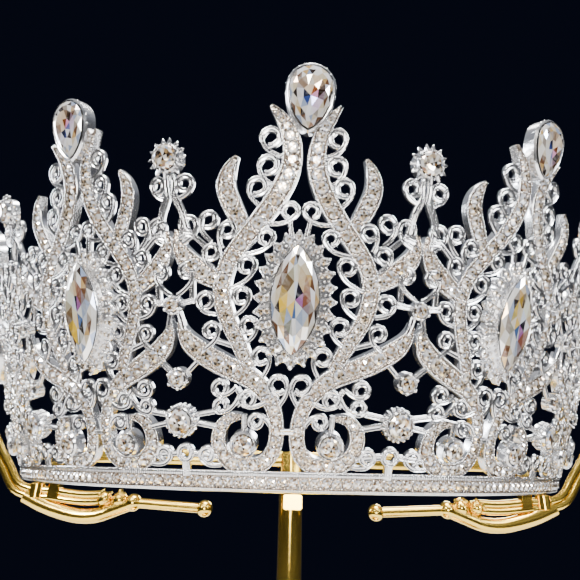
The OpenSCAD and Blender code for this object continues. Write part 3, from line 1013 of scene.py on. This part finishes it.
def round_seats(wall):
    """Node name, seat and diameter of every round stone that is a node of its own, and the claw stones."""
    made = []
    for i in range(10):
        m, side = MOTIFS[i // 2], SIDES[i % 2]
        x, t = wall.spot(side, DROP_SHARE, DROP_LEVEL)
        made.append((f"drop_stone_{i + 1}", wall.seat(m, x, t), wall.g.drop_d))
    for i, k in enumerate(LINES):
        made.append((f"crest_stone_{i + 1}", wall.seat(k, 0, wall.up(CREST_LEVEL)), wall.g.crest_d))
        made.append((f"flower_stone_{i + 1}", wall.seat(k, 0, wall.up(FLOWER_LEVEL)), wall.g.flower_d))
    for k in LINES:
        made.append(("claw_stones", wall.seat(k, 0, wall.up(CLAW_LEVEL)), wall.g.claw_d))
        made.append(("claw_stones", wall.seat(k, 0, wall.up(BUD_LEVEL)), wall.g.bud_d))
    return made


def walk(rows, share, most, gap, least):
    """Places along a ribbon where stones fit: x, t, diameter, width and direction."""
    lengths, run = [0.0], 0.0
    for a, b in zip(rows, rows[1:]):
        run += (b - a).xy.length
        lengths.append(run)
    places, at = [], 0.0
    while at < run:
        i = max(j for j, v in enumerate(lengths) if v <= at)
        i = min(i, len(rows) - 2)
        s = (at - lengths[i]) / max(lengths[i + 1] - lengths[i], 1e-9)
        row = rows[i].lerp(rows[i + 1], s)
        way = (rows[i + 1] - rows[i]).xy.normalized()
        d = min(most, share * row.z)
        if row.z < least:
            at += 0.4 * MM
            continue
        places.append((row.x, row.y, d, row.z, way))
        at += d + gap
    return places


def all_ribbons(wall):
    """Motif, place behind the wall's face in mm, and rows of every ribbon."""
    for m in MOTIFS:
        for side in SIDES:
            for table, lift in RIBBONS:
                yield m, lift, flow(ribbon_rows(wall, side, table), FLOW_STEP)


class Piece(bpy.types.Operator):
    bl_options = {"UNDO"}


BAND_STONE_D, BAND_STONE_GAP, BAND_STONE_LEVEL = 2.1 * MM, 0.28 * MM, 1.98 * MM


class CROWN_OT_band(Piece):
    """Makes the band with its two rims, its channel and its row of small stones"""
    bl_idname = "crown.band"
    bl_label = "Band"

    def execute(self, context):
        scene = context.scene
        wall, s = Wall(scene), scene.crown_sizes
        reach = 2.5 * s.motif_pitch + s.band_end
        rise = math.tan(s.flare)
        top, back = s.band_h, -s.band_t
        section = [
            (back, 0, 1), (-0.1 * MM, 0, 1), (0, 0.12 * MM, 1), (0, 0.62 * MM, 0.9),
            (-0.4 * MM, 0.75 * MM, 0.7), (-0.4 * MM, top - 1.15 * MM, 0.7), (0, top - 1.02 * MM, 0.9),
            (0, top - 0.62 * MM, 0.9), (-0.22 * MM, top - 0.5 * MM, 0.8), (0, top - 0.38 * MM, 0.9),
            (0, top - 0.1 * MM, 1), (-0.1 * MM, top, 1), (back, top, 1),
        ]

        def place(a, z, off):
            r = s.crown_r + z * rise + off
            return Vector((r * math.sin(a), wall.back - r * math.cos(a), z + wall.base))

        shape = Shape()
        n = 180
        angles = [reach * (2 * i / n - 1) for i in range(n + 1)]
        shape.skin(
            [[place(a, z, off) for off, z, rim in section] for a in angles],
            [a * s.crown_r for a in angles], [rim for off, z, rim in section],
        )
        metal = plated(scene, "Plated band", 0.12, place=0.9, reach=0.09, pitch=0.55, floor=True)
        link_piece(scene, "band", shape.mesh("band", smooth=35), metal, [FRAME_NODE])
        seats, grains = [], []
        step = (BAND_STONE_D + BAND_STONE_GAP) / s.crown_r
        count = int((2 * reach - 2.5 * MM / s.crown_r) / step)
        for i in range(count + 1):
            a = (i - count / 2) * step
            turned = Matrix.Rotation(a, 4, "Z") @ Matrix.Rotation(math.pi / 2 + s.flare, 4, "X")
            seat = Matrix.Translation(place(a, BAND_STONE_LEVEL, -0.22 * MM)) @ turned
            seats.append((seat, BAND_STONE_D))
            if i < count:
                for z in (BAND_STONE_LEVEL - 0.9 * MM, BAND_STONE_LEVEL + 0.9 * MM):
                    seat = Matrix.Translation(place(a + step / 2, z, -0.25 * MM)) @ turned
                    grains.append((seat, s.grain_d))
        small_stones(scene, "band_stones", seats, 3)
        small_metal(scene, "band_grains", grains, bead_part())
        return {"FINISHED"}


class CROWN_OT_ribbons(Piece):
    """Makes the raised-rim ribbons of the rails, scrolls, flames and leaves"""
    bl_idname = "crown.ribbons"
    bl_label = "Ribbons"

    def execute(self, context):
        scene = context.scene
        wall, shape = Wall(scene), Shape()
        for m, lift, rows in all_ribbons(wall):
            sweep(shape, wall, m, rows, [(s, off + lift) for s, off in RIBBON_SECTION])
        metal = plated(scene, "Plated ribbons", 0.12, place=0.88, reach=0.1, pitch=0.55, floor=True)
        link_piece(scene, "ribbons", shape.mesh("ribbons", smooth=35), metal, [FRAME_NODE])
        return {"FINISHED"}


# Share of a ribbon's width that its stones take, space between them, and the least width that has any
PAVE_SHARE, PAVE_GAP, PAVE_LEAST = 0.64, 0.18 * MM, 1.9 * MM


class CROWN_OT_pave(Piece):
    """Sets round stones along the ribbons, each held by grains"""
    bl_idname = "crown.pave"
    bl_label = "Pave stones"

    def execute(self, context):
        scene = context.scene
        wall = Wall(scene)
        stones, grains, chance = [], [], random.Random(2)
        for m, lift, rows in all_ribbons(wall):
            places = walk(rows, PAVE_SHARE, scene.crown_sizes.pave_d, PAVE_GAP, PAVE_LEAST)
            for x, t, d, w, way in places:
                spin = chance.uniform(0, 2 * math.pi)
                stones.append((wall.seat(m, x, t, lift * MM - 0.16 * MM, spin), d))
            for (xa, ta, _, wa, way), (xb, tb, _, wb, _) in zip(places, places[1:]):
                x, t, w = (xa + xb) / 2, (ta + tb) / 2, (wa + wb) / 2
                for s in (-1, 1):
                    out = s * 0.25 * w
                    seat = wall.seat(m, x - way.y * out, t + way.x * out, lift * MM - 0.12 * MM)
                    grains.append((seat, min(0.78 * MM, 0.19 * w)))
        small_stones(scene, "pave_stones", stones, 11)
        small_metal(scene, "pave_grains", grains, bead_part())
        return {"FINISHED"}


# A wire's section with a raised edge along each side: mm out of the wall, share of the half width
WIRE_SECTION = (
    (-1.6, -1), (0.04, -1), (0.18, -0.8), (0.18, -0.58), (0.02, -0.42),
    (0.02, 0.42), (0.18, 0.58), (0.18, 0.8), (0.04, 1), (-1.6, 1),
)
# Steps by which wires that cross lie behind each other
CURL_STEP, LINK_STEP = 0.03 * MM, 0.05 * MM


class CROWN_OT_wires(Piece):
    """Draws the beaded scroll wires that fill the crown between the ribbons"""
    bl_idname = "crown.wires"
    bl_label = "Scroll wires"

    def execute(self, context):
        scene = context.scene
        wall = Wall(scene)
        wires = []

        def fill(m, curls, links):
            for side in SIDES:
                for i, row in enumerate(curls):
                    wires.append((m, curl_points(wall, side, row), (i % 5 - 4) * CURL_STEP))
                for i, points in enumerate(links):
                    path = [Vector(wall.spot(side, u, t)) for u, t in points]
                    wires.append((m, thick(path), -LINK_STEP * (i % 3 + 1)))

        for m in MOTIFS:
            fill(m, CURLS, LINKS)
        for k in LINES:
            fill(k, LINE_CURLS, LINE_LINKS)
            eye = Vector((0, wall.up(RING_LEVEL)))
            ring = [eye + p for p in outline_round(3.2 * MM, 16)]
            wires.append((k, thick([*ring, ring[0]]), -LINK_STEP))
        half = 1000 * scene.crown_sizes.wire_w / 2
        section = [(out, share * half) for out, share in WIRE_SECTION]
        metal = plated(scene, "Plated wires", 0.14, place=0.0, reach=0.42, pitch=0.6)
        draw_wires(scene, "scroll_wires", wall, wires, section, metal)
        return {"FINISHED"}


def thick(path):
    """Adds points to a straight run, rounds a bent one, and gives both an even width."""
    if len(path) == 2:
        made = [path[0].lerp(path[1], i / 3) for i in range(4)]
    else:
        made = [Vector(p.xy) for p in flow([Vector((*p, 0)) for p in path], FLOW_STEP)]
    return made, [0.7] * len(made)


# One petal of a halo: share of its run, and share of its height reached there
PETAL = ((0.0, 1.0), (0.16, 0.7), (0.32, 0.16), (0.5, 0.0), (0.68, 0.16), (0.84, 0.7))
PETAL_RISE = 1.35 * MM


class CROWN_OT_halos(Piece):
    """Makes the petalled halos round the pointed oval stones"""
    bl_idname = "crown.halos"
    bl_label = "Halos"

    def execute(self, context):
        scene = context.scene
        wall, g, s = Wall(scene), scene.stone_sizes, scene.crown_sizes
        shape, stones, tips, grains = Shape(), [], [], []
        a_long, b_wide = HALO_TALL * g.navette_l / 2, HALO_WIDE * g.navette_w / 2
        lobes = s.halo_n
        edge = ((-0.32 * MM, 0.85 * MM, tips), (-1.65 * MM, s.halo_d, stones), (-3.0 * MM, 1.25 * MM, stones))

        def on_edge(share):
            """A place on the halo's outer oval and the way out of it."""
            a = spaced(a_long, b_wide, share)
            c, r = math.cos(a), math.sin(a)
            return Vector((b_wide * c, a_long * r)), Vector((c * a_long, r * b_wide)).normalized()

        for m in MOTIFS:
            seat = wall.seat(m, 0, wall.up(NAVETTE_LEVEL))
            outline = []
            for i in range(lobes):
                for share, rise in PETAL:
                    a = spaced(a_long, b_wide, (i + share) / lobes)
                    d = PETAL_RISE * (1 - rise)
                    outline.append(Vector(((b_wide - d) * math.cos(a), (a_long - d) * math.sin(a))))
            low = PLATE_TOP - s.plate_t
            rim = widened(outline, -0.22 * MM)
            shape.skin([
                lifted(outline, low, seat), lifted(outline, PLATE_TOP - 0.15 * MM, seat),
                lifted(rim, PLATE_TOP, seat),
                lifted(widened(outline, -0.5 * MM), PLATE_TOP - 0.1 * MM, seat),
            ])
            for i in range(lobes):
                tip, way = on_edge(i / lobes)
                for off, d, kind in edge:
                    p = tip + way * off
                    z = PLATE_TOP + (0.02 if kind is tips else -0.02) * MM
                    kind.append((seat @ Matrix.Translation((p.x, p.y, z)), d))
                base, over = on_edge((i + 0.5) / lobes)
                for off, d in ((-1.7, 0.6), (-2.6, 0.7)):
                    p = base + over * off * MM
                    grains.append((seat @ Matrix.Translation((p.x, p.y, PLATE_TOP + 0.05 * MM)), d * MM))
        metal = plated(scene, "Plated castings", 0.14)
        link_piece(scene, "halos", shape.mesh("halos", smooth=35), metal, [FRAME_NODE])
        small_stones(scene, "halo_stones", stones, 5)
        small_metal(scene, "halo_grains", tips + grains, bead_part())
        return {"FINISHED"}


def spaced(long, wide, share):
    """Angle parameter of an ellipse at a share of its length round, starting at its upper end."""
    n = 180
    total, marks = 0.0, [0.0]
    for i in range(n):
        a, b = (2 * math.pi * (i + k) / n + math.pi / 2 for k in (0, 1))
        total += math.hypot(wide * (math.cos(b) - math.cos(a)), long * (math.sin(b) - math.sin(a)))
        marks.append(total)
    want = (share % 1.0) * total
    i = max(j for j, v in enumerate(marks) if v <= want)
    i = min(i, n - 1)
    return math.pi / 2 + 2 * math.pi * (i + (want - marks[i]) / (marks[i + 1] - marks[i])) / n


# Settings of the round stones. The cup's wall: height as a share of the stone, height in mm on top
# of that, thickness and the plate's edge outside it in mm. Then rows of claws: kind, number, size,
# distance out of the stone and level over the plate in mm, and where the first one is.
ROUND_SETTINGS = {
    "crest": (0.28, 0, 0.4, 0.2, (("leaf", 14, 1.75, 0.1, 0.1, 0), ("round", 14, 0.7, 0.1, 1.0, 1 / 28))),
    "flower": (0.28, 0, 0.4, 0.1, (("round", 18, 0.95, 0.75, 0.1, 0), ("round", 12, 0.65, 0.1, 0.9, 1 / 24))),
    "drop": (0.28, 0, 0.6, 0, (("round", 8, 0.45, 0.3, 1.0, 1 / 16),)),
    "claw": (0, 0.7, 0.5, 0, (("round", 6, 0.95, 0.35, 0.6, 1 / 12),)),
}


class CROWN_OT_settings(Piece):
    """Makes the cups and claws that hold the separate stones"""
    bl_idname = "crown.settings"
    bl_label = "Settings"

    def execute(self, context):
        scene = context.scene
        wall, g, s = Wall(scene), scene.stone_sizes, scene.crown_sizes
        shape, claws = Shape(), {"leaf": [], "round": []}
        low = PLATE_TOP - s.plate_t

        def cup(outline, seat, wall_h, wall_t, flat=0.0):
            """A plate with a rounded wall round the stone."""
            inner, outer = widened(outline, g.gap), widened(outline, g.gap + wall_t)
            mid = widened(outline, g.gap + 0.45 * wall_t)
            foot = widened(outline, g.gap + wall_t + flat)
            rows = (
                (foot, low), (foot, PLATE_TOP), (outer, PLATE_TOP + 0.02 * MM),
                (outer, PLATE_TOP + 0.7 * wall_h), (mid, PLATE_TOP + wall_h),
                (inner, PLATE_TOP + 0.9 * wall_h), (inner, PLATE_TOP),
            )
            shape.skin([lifted(row, z, seat) for row, z in rows])

        def ring_of(kind, seat, outline, count, size, off, z, first=0.0):
            """A row of claws round an outline, each turned to face out of it."""
            n = len(outline)
            for i in range(count):
                at = (first + i / count) * n
                a, b = outline[int(at) % n], outline[(int(at) + 1) % n]
                edge = (b - a).normalized()
                way = math.atan2(-edge.x, edge.y)
                q = a.lerp(b, at % 1) + Vector((math.cos(way), math.sin(way))) * off
                turned = Matrix.Translation((q.x, q.y, z)) @ Matrix.Rotation(way, 4, "Z")
                claws[kind].append((seat @ turned, size))

        for m in MOTIFS:
            seat = wall.seat(m, 0, wall.up(NAVETTE_LEVEL))
            oval = outline_navette(g.navette_l, g.navette_w, 48)
            cup(oval, seat, 0.165 * g.navette_w, 0.4 * MM)
            ring_of("round", seat, oval, 12, 0.5 * MM, 0.2 * MM, PLATE_TOP + 0.13 * g.navette_w, 1 / 24)
            seat = wall.seat(m, 0, wall.up(PEAR_LEVEL))
            drop = outline_pear(g.pear_l, g.pear_w, 48)
            cup(drop, seat, 0.172 * g.pear_w, s.bezel_w)
            ring_of("round", seat, drop, 22, 0.55 * MM, 0.66 * MM, PLATE_TOP + 0.76 * MM, 1 / 44)
        for name, seat, d in round_seats(wall):
            share, plain, wall_t, flat, rows = ROUND_SETTINGS[name.split("_")[0]]
            outline = outline_round(d, 24)
            cup(outline, seat, share * d + plain * MM, wall_t * MM, flat * MM)
            for kind, count, size, off, z, first in rows:
                ring_of(kind, seat, outline, count, size * MM, off * MM, PLATE_TOP + z * MM, first)
        metal = plated(scene, "Plated castings", 0.14)
        link_piece(scene, "settings", shape.mesh("settings", smooth=35), metal, [FRAME_NODE])
        repeat(scene, "leaf_claws", claws["leaf"], claw_part(), metal, True)
        small_metal(scene, "stone_claws", claws["round"], prong_part())
        return {"FINISHED"}


MAIN_RISE = 0.2765  # height of a main stone over its plate, as a share of its width


class CROWN_OT_main_stones(Piece):
    """Cuts the pointed oval and pear stones, their facets coloured with painted reflections and painted shade
    """
    bl_idname = "crown.main_stones"
    bl_label = "Main stones"

    def execute(self, context):
        scene = context.scene
        wall, g = Wall(scene), scene.stone_sizes
        gem = crystal_large(scene)
        low = PLATE_TOP + g.gap
        oval = outline_navette(g.navette_l, g.navette_w, 16)
        drop = outline_pear(g.pear_l, g.pear_w, 16)
        kinds = (
            ("marquise_stone", NAVETTE_LEVEL, oval, g.navette_w, 0.17, NAVETTE_TABLE),
            ("pear_stone", PEAR_LEVEL, drop, g.pear_w, 0.19, PEAR_TABLE),
        )
        for i, m in enumerate(MOTIFS):
            for kind, level, outline, wide, girdle, painted_facet_light in kinds:
                shape = Shape()
                cut_stone(
                    shape, outline, wall.seat(m, 0, wall.up(level)), low,
                    PLATE_TOP + girdle * wide, PLATE_TOP + MAIN_RISE * wide,
                    [row[i - 2:] + row[:i - 2] for row in painted_facet_light], random.Random(40 + i),
                )
                data = shape.mesh(kind, merge=True)
                link_piece(scene, f"{kind}_{i + 1}_cut", data, gem, [f"{kind}_{i + 1}"])
        return {"FINISHED"}


class CROWN_OT_round_stones(Piece):
    """Cuts the round stones of the scrolls, crests, flowers and claws"""
    bl_idname = "crown.round_stones"
    bl_label = "Round stones"

    def execute(self, context):
        scene = context.scene
        wall = Wall(scene)
        gem = crystal_large(scene)
        low = PLATE_TOP + scene.stone_sizes.gap
        groups = {}
        for i, (node, seat, d) in enumerate(round_seats(wall)):
            shape, nodes = groups.setdefault(node.split("_")[0], (Shape(), []))
            round_stone(shape, seat, d, random.Random(i), low)
            nodes.append(node)
        for kind, (shape, nodes) in groups.items():
            data = shape.mesh(kind, merge=True)
            link_piece(scene, f"{kind}_round_stones", data, gem, sorted(set(nodes)))
        return {"FINISHED"}


def tube(shape, points, d, n=20, off=0.0):
    """A round bar along points of the crossbar's plane, shifted sideways by off."""
    loops, across = [], Vector((0, 1, 0))
    for i, p in enumerate(points):
        way = (points[min(i + 1, len(points) - 1)] - points[max(i - 1, 0)]).normalized()
        side = way.cross(across)
        angles = [2 * math.pi * k / n for k in range(n)]
        loops.append([
            p + side * (off + d / 2 * math.sin(a)) + across * d / 2 * math.cos(a) for a in angles
        ])
    shape.skin(loops)


def lathe(shape, rows, centre, n=40):
    shape.skin([[centre + Vector((p.x, p.y, z)) for p in outline_round(2 * r, n)] for r, z in rows])


def ball(shape, centre, d):
    angles = [math.pi * i / 14 for i in range(1, 14)]
    lathe(shape, [(d / 2 * math.sin(a), -d / 2 * math.cos(a)) for a in angles], centre, 28)


def beam(shape, a, b, side, up):
    """A flat bar from one place to another with softened edges; side and up are half its section."""
    k = 0.82
    corners = ((-1, -k), (-k, -1), (k, -1), (1, -k), (1, k), (k, 1), (-k, 1), (-1, k))
    shape.skin([[p + side * x + up * z for x, z in corners] for p in (a, b)])


class CROWN_OT_stand(Piece):
    """Makes the gilt stand with its curled side tubes and their cast leaves"""
    bl_idname = "crown.stand"
    bl_label = "Stand"

    def execute(self, context):
        scene = context.scene
        wall, g, s = Wall(scene), scene.stand_sizes, scene.crown_sizes
        r, base = s.crown_r, g.stand_h
        shape, leaves, crumbs = Shape(), [], []
        chance = random.Random(4)
        x_way, y_way, z_way = Vector((1, 0, 0)), Vector((0, 1, 0)), Vector((0, 0, 1))
        lathe(shape, [(g.foot_r * a, g.foot_t * b + c * MM) for a, b, c in FOOT_OUTLINE], Vector(), 96)
        top = base + g.bar_z + g.bar_h / 2
        half = g.post_d / 2
        lathe(shape, [(half, g.foot_t / 2), (half, top - 0.4 * MM), (half - 0.4 * MM, top)], Vector())
        rest_x = math.sqrt((r - s.band_t / 2) ** 2 - wall.back**2)
        end = rest_x - 5 * MM
        level = base + g.bar_z
        half_bar = g.bar_t / 2
        beam(shape, Vector((-end, 0, level)), Vector((end, 0, level)), -y_way * half_bar, z_way * g.bar_h / 2)
        rest = base - g.rest_gap
        width = (s.band_t + 2 * MM) / 2
        low = base - 0.04 * r
        tongue = Vector((0, wall.back - r, rest - half_bar))
        beam(shape, tongue, Vector((0, 0, tongue.z)), x_way * width, z_way * half_bar)

        def place(side, row):
            return Vector((side * row[0] / 100 * r, 0, base + row[1] / 100 * r))

        def run(side, table):
            return [place(side, (row.x, row.y)) for row in flow([(*row, 0) for row in table], 1.6)]

        for side in SIDES:
            tube(shape, run(side, LOW_ARM), g.lower_d)
            strand = 0.54 * g.upper_d
            for off in SIDES:
                tube(shape, run(side, HIGH_ARM), strand, 16, off * (g.upper_d - strand) / 2)
            bar = [place(side, OUTER_BALL).lerp(place(side, LOW_ARM[0]), i / 4) for i in range(5)]
            tube(shape, bar, g.rod_d)
            ball(shape, place(side, OUTER_BALL), g.ball_d)
            ball(shape, place(side, LOW_ARM[0]), g.ball_d + 0.2 * MM)
            ball(shape, place(side, HIGH_ARM[-1]), g.ball_d + 2 * MM)
            stub = [(width, low - rest), (width, -0.3 * MM), (width - 0.3 * MM, 0)]
            lathe(shape, stub, Vector((side * rest_x, 0, rest)))
            ends = [Vector((side * end, 0, z)) for z in (low, level)]
            beam(shape, *ends, x_way * half_bar, y_way * half_bar)
            for knot, d in KNOTS:
                middle = place(side, knot)
                ball(shape, middle, 0.8 * d * MM)
                for i in range(KNOT_PARTS):
                    tip = Matrix.Rotation(math.acos(1 - (2 * i + 1) / KNOT_PARTS), 4, "X")
                    spin = Matrix.Rotation(SPIRAL * i, 4, "Z") @ tip
                    out = spin @ Vector((0, 0, 0.34 * d * MM))
                    twist = Matrix.Rotation(chance.uniform(0, 6.28), 4, "Z")
                    turned = Matrix.Translation(middle + out) @ spin @ twist
                    if i % 3 == 0:
                        leaves.append((turned, 1.9 * MM))
                    else:
                        crumbs.append((turned, chance.uniform(0.9, 1.5) * MM))
        gold = gilt(scene, "Gilt stand", 0.1)
        link_piece(scene, "stand", shape.mesh("stand", smooth=40), gold, [STAND_NODE])
        casting = gilt(scene, "Gilt casting", 0.2)
        repeat(scene, "cast_leaves", leaves, claw_part(), casting, True)
        repeat(scene, "cast_beads", crumbs, bead_part(), casting, True)
        return {"FINISHED"}


FLOOR_D = 0.42
# The room's light by height: share of the way up, colour
ROOM = (
    (0.0, (0.1, 0.1, 0.11)), (0.45, (0.2, 0.21, 0.24)), (0.75, (0.75, 0.8, 0.92)),
    (1.0, (0.9, 0.94, 1.0)),
)
ROOM_STRENGTH = 0.4
AIM = Vector((0, -0.07, 0.14))
# Lights: name, place, width, watts, colour
LIGHTS = (
    ("key", (-0.45, -0.75, 0.6), 0.2, 21.0, (1.0, 0.97, 0.93)),
    ("fill", (0.6, -0.55, 0.35), 0.2, 9.5, (0.93, 0.96, 1.0)),
    ("top", (0.05, -0.1, 0.8), 0.3, 12.0, (1.0, 0.98, 0.96)),
    ("low", (0.0, -0.6, 0.1), 0.12, 1.4, (1.0, 0.96, 0.92)),
    ("left", (-0.6, 0.1, 0.35), 0.2, 5.0, (0.86, 0.92, 1.0)),
    ("back", (0.3, 0.7, 0.5), 0.3, 5.0, (0.95, 0.97, 1.0)),
)
SENSOR, FRAME = 36, 580  # the camera's sensor in mm and its picture in pixels


class CROWN_OT_stage(Piece):
    """Lays the floor, sets the lights and places the camera"""
    bl_idname = "crown.stage"
    bl_label = "Stage"

    def execute(self, context):
        scene = context.scene
        f, view = scene.finishes, scene.stage_settings
        data = bpy.data.meshes.new("floor")
        edge = outline_round(FLOOR_D, 96)
        data.from_pydata([(p.x, p.y, 0) for p in edge], [], [tuple(range(len(edge)))])
        material, s, body = paint("Floor", {"Roughness": 0.7})
        darker = tuple(c * 0.94 for c in f.floor)
        s.feed(body, {"Base Color": s.mix(s.noise(7.0, 2.0), (*f.floor, 1), (*darker, 1))})
        data.materials.append(material)
        floor = bpy.data.objects.new("floor", data)
        scene.collection.objects.link(floor)

        world = bpy.data.worlds.new("Room")
        scene.world = world
        world.use_nodes = True
        w = Shading(world.node_tree)
        w.tree.nodes.clear()
        height = w.node("ShaderNodeSeparateXYZ", [(0, w.place("Generated"))]).outputs[2]
        room = w.node("ShaderNodeBackground", [("Color", w.ramp(height, ROOM)), ("Strength", ROOM_STRENGTH)])
        seen = w.node("ShaderNodeBackground", [("Color", (*f.backdrop, 1)), ("Strength", 1.0)])
        path = w.node("ShaderNodeLightPath").outputs["Is Camera Ray"]
        both = w.node("ShaderNodeMixShader", [(0, path), (1, room.outputs[0]), (2, seen.outputs[0])])
        w.node("ShaderNodeOutputWorld", [("Surface", both.outputs[0])])

        for name, spot, width, power, colour in LIGHTS:
            light = bpy.data.lights.new(name, "AREA")
            light.size = width
            light.energy = power
            light.color = colour
            lamp = bpy.data.objects.new(name, light)
            lamp.location = spot
            lamp.rotation_euler = (AIM - Vector(spot)).to_track_quat("-Z", "Y").to_euler()
            scene.collection.objects.link(lamp)

        camera = bpy.data.cameras.new("camera")
        camera.sensor_width = SENSOR
        camera.lens = SENSOR * view.focal / FRAME
        camera.clip_start = 0.005
        holder = bpy.data.objects.new("camera", camera)
        cy, sy = math.cos(view.yaw), math.sin(view.yaw)
        cp, sp = math.cos(view.pitch), math.sin(view.pitch)
        ahead = Vector((cp * sy, cp * cy, sp))
        level = Vector((cy, -sy, 0))
        upward = Vector((-sp * sy, -sp * cy, cp))
        right = math.cos(view.roll) * level + math.sin(view.roll) * upward
        up = math.cos(view.roll) * upward - math.sin(view.roll) * level
        turned = Matrix((right, up, -ahead)).transposed().to_4x4()
        spot = Vector(view.place) + Vector((0, 0, scene.stand_sizes.stand_h))
        holder.matrix_world = Matrix.Translation(spot) @ turned
        scene.collection.objects.link(holder)
        scene.camera = holder
        return {"FINISHED"}


class CROWN_PT_panel(bpy.types.Panel):
    """Lists the crown's pieces"""
    bl_idname = "CROWN_PT_panel"
    bl_label = "Pageant crown"
    bl_space_type = "VIEW_3D"
    bl_region_type = "UI"
    bl_category = "Crown"

    def draw(self, context):
        for key, group in GROUPS.items():
            box = self.layout.box()
            box.label(text=key.replace("_", " ").capitalize())
            for name in group.__annotations__:
                box.prop(getattr(context.scene, key), name)
        for piece in PIECES:
            self.layout.operator(piece.bl_idname)


PIECES = (
    CROWN_OT_stage, CROWN_OT_band, CROWN_OT_ribbons, CROWN_OT_pave, CROWN_OT_wires, CROWN_OT_halos,
    CROWN_OT_settings, CROWN_OT_main_stones, CROWN_OT_round_stones, CROWN_OT_stand,
)


def register():
    for key, group in GROUPS.items():
        bpy.utils.register_class(group)
        setattr(bpy.types.Scene, key, bpy.props.PointerProperty(type=group))
    for piece in (*PIECES, CROWN_PT_panel):
        bpy.utils.register_class(piece)


def unregister():
    for piece in reversed((*PIECES, CROWN_PT_panel)):
        bpy.utils.unregister_class(piece)
    for key, group in reversed(tuple(GROUPS.items())):
        delattr(bpy.types.Scene, key)
        bpy.utils.unregister_class(group)


def main():
    register()
    for piece in PIECES:
        family, name = piece.bl_idname.split(".")
        getattr(getattr(bpy.ops, family), name)()


if __name__ == "__main__":
    main()
